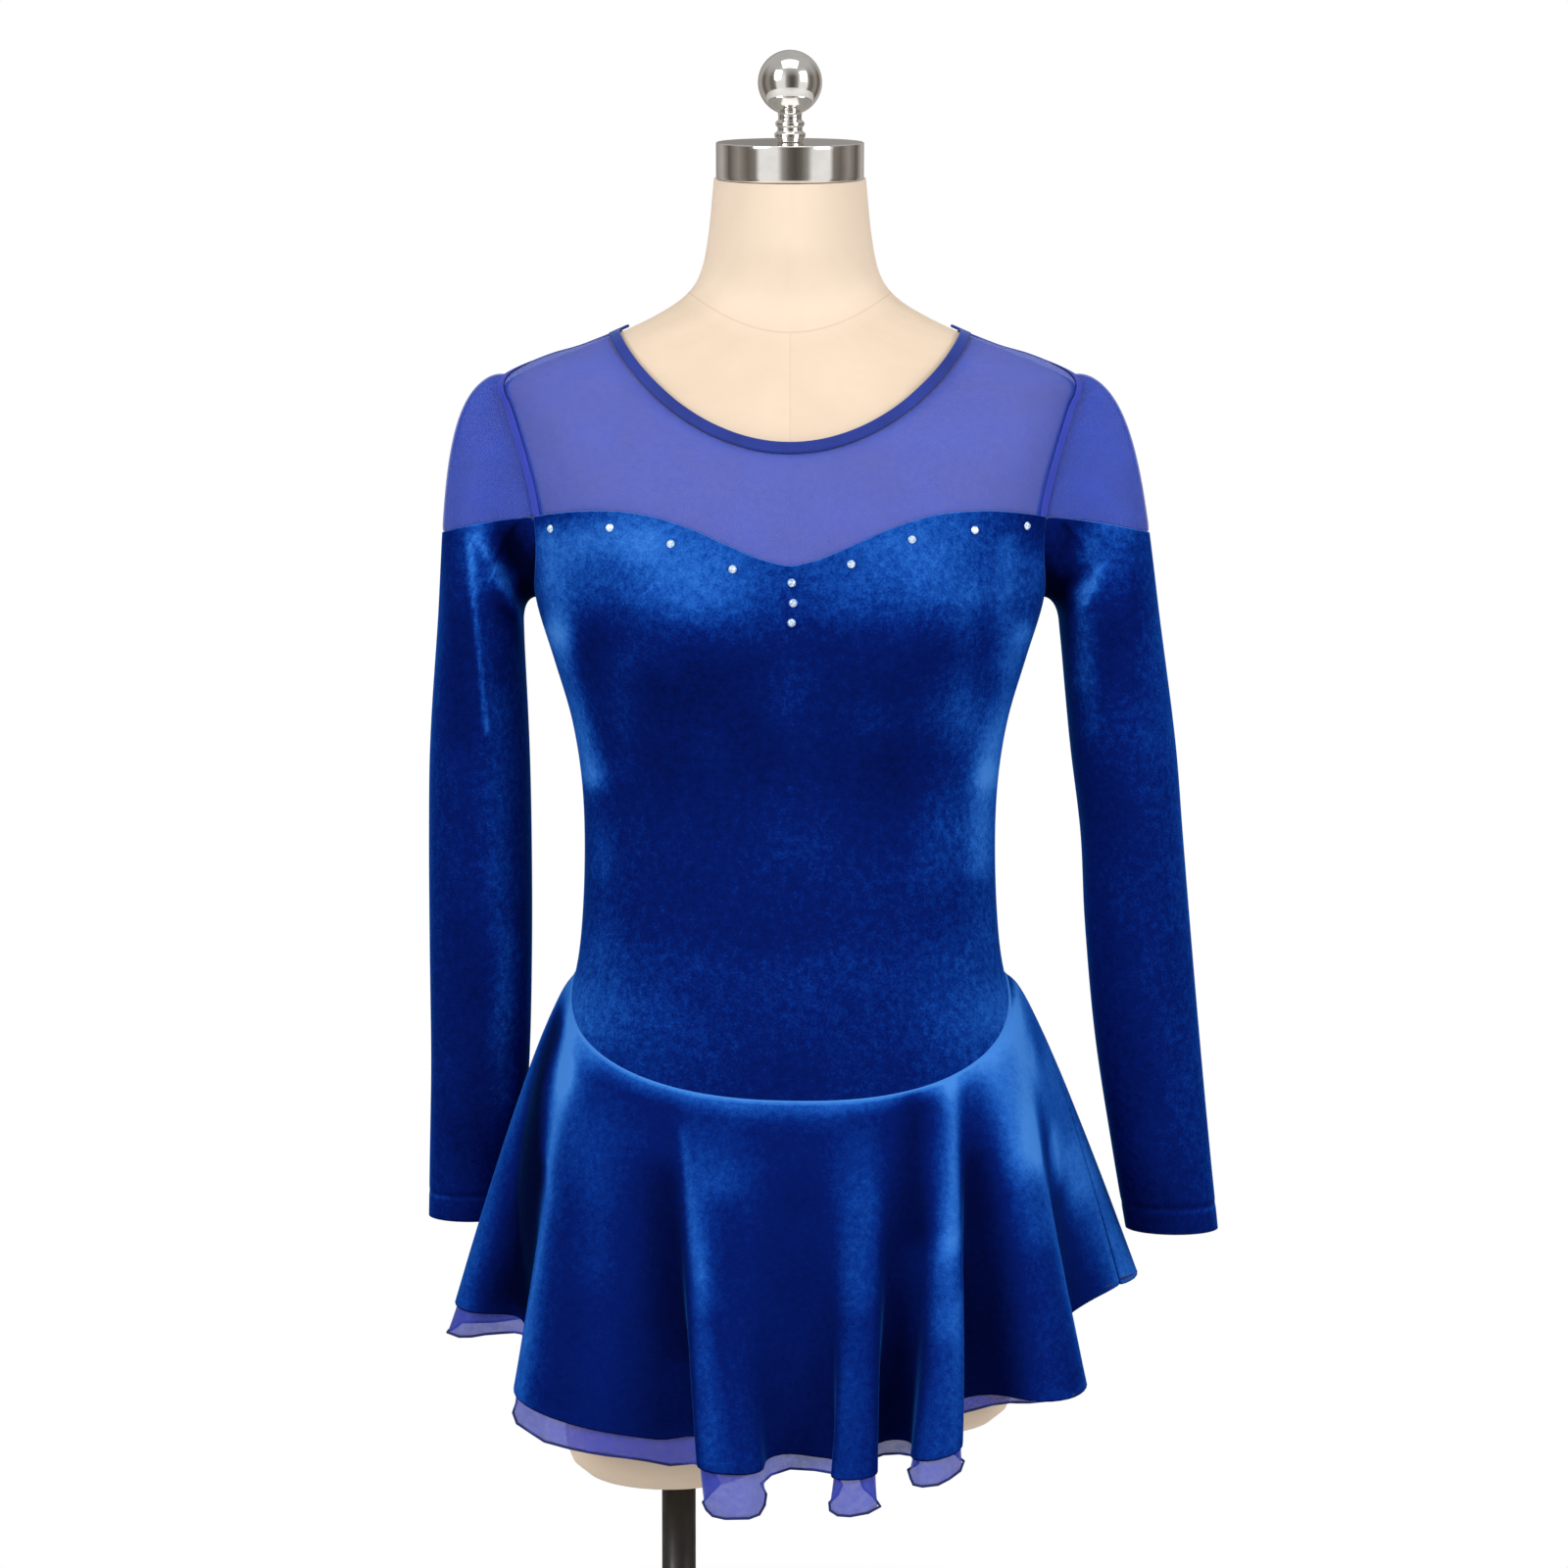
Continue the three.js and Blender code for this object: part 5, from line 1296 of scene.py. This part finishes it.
def build_room():
    """A room that gloss reflects, and plain white behind everything that the camera sees."""
    world = bpy.data.worlds.new("studio")
    bpy.context.scene.world = world
    world.use_nodes = True
    nodes = Nodes(world.node_tree)
    across, ahead, up = nodes.parts(nodes.place("Generated"))
    turn = nodes.math("ARCTAN2", across, nodes.math("MULTIPLY", ahead, -1.0))
    away = nodes.math("ABSOLUTE", nodes.math("SUBTRACT", turn, math.radians(8)))
    bands = [
        (degrees / 180, (level, level * (1 - 0.5 * warmth), level * (1 - warmth)))
        for degrees, level, warmth in ROOM
    ]
    walls = nodes.ramp(nodes.math("DIVIDE", away, math.pi), bands)
    room = world.node_tree.nodes["Background"]
    nodes.feed(room.inputs["Color"], nodes.mix(nodes.spread(up, 0.25, 0.7), walls, (0.52, 0.52, 0.51, 1)))
    room.inputs["Strength"].default_value = 1.0
    backdrop = nodes.add("Background")
    backdrop.inputs["Color"].default_value = (1, 1, 1, 1)
    backdrop.inputs["Strength"].default_value = 1.0
    seen = nodes.add("LightPath").outputs["Is Camera Ray"]
    shown = nodes.mix_shaders(seen, room.outputs[0], backdrop.outputs[0])
    nodes.feed(world.node_tree.nodes["World Output"].inputs["Surface"], shown)


def build_floor():
    """A pale floor that fades into the backdrop."""
    shape = bmesh.new()
    bmesh.ops.create_circle(shape, cap_ends=True, segments=96, radius=2.6)
    mesh = bpy.data.meshes.new("floor")
    shape.to_mesh(mesh)
    shape.free()
    floor = added("floor", mesh)
    material, nodes, shader = new_material("pale_floor", Base_Color=(0.86, 0.86, 0.86, 1), Roughness=0.8)
    glow = nodes.add("Emission")
    distance = nodes.add("VectorMath")
    distance.operation = "LENGTH"
    nodes.feed(distance.inputs[0], nodes.place())
    fade = nodes.spread(distance.outputs["Value"], 0.45, 0.95)
    shown = nodes.math("MULTIPLY", fade, nodes.add("LightPath").outputs["Is Camera Ray"])
    surface = nodes.mix_shaders(shown, shader.outputs[0], glow.outputs[0])
    nodes.feed(material.node_tree.nodes["Material Output"].inputs["Surface"], surface)
    mesh.materials.append(material)


def build_lamps_and_camera():
    for name, (place, size, watts) in LAMPS.items():
        data = bpy.data.lights.new(name, "AREA")
        data.shape = "RECTANGLE"
        data.size, data.size_y = size
        data.energy = watts
        lamp = added(name, data)
        lamp.location = place
        lamp.rotation_euler = (Vector(LIT_PLACE) - Vector(place)).to_track_quat("-Z", "Y").to_euler()

    data = bpy.data.cameras.new("camera")
    data.lens = 93.75
    data.sensor_width = 36
    data.clip_start, data.clip_end = 0.05, 50
    camera = added("camera", data)
    tilt = math.asin(CAMERA_RISE / CAMERA_AWAY)
    camera.location = (CAMERA_X * MM, -CAMERA_AWAY * MM * math.cos(tilt), CAMERA_Z * MM)
    camera.rotation_euler = (math.pi / 2 - tilt, 0, 0)
    bpy.context.scene.camera = camera
    bpy.context.scene.view_settings.view_transform = "Standard"


build_room()
build_floor()
build_lamps_and_camera()
build_torso()
build_cap_and_finial()
build_stand()
build_panels()
build_binding()
build_sleeve("left")
build_sleeve("right")
build_skirt("front", -90, 90)
build_skirt("back", 90, 270)
build_stones()
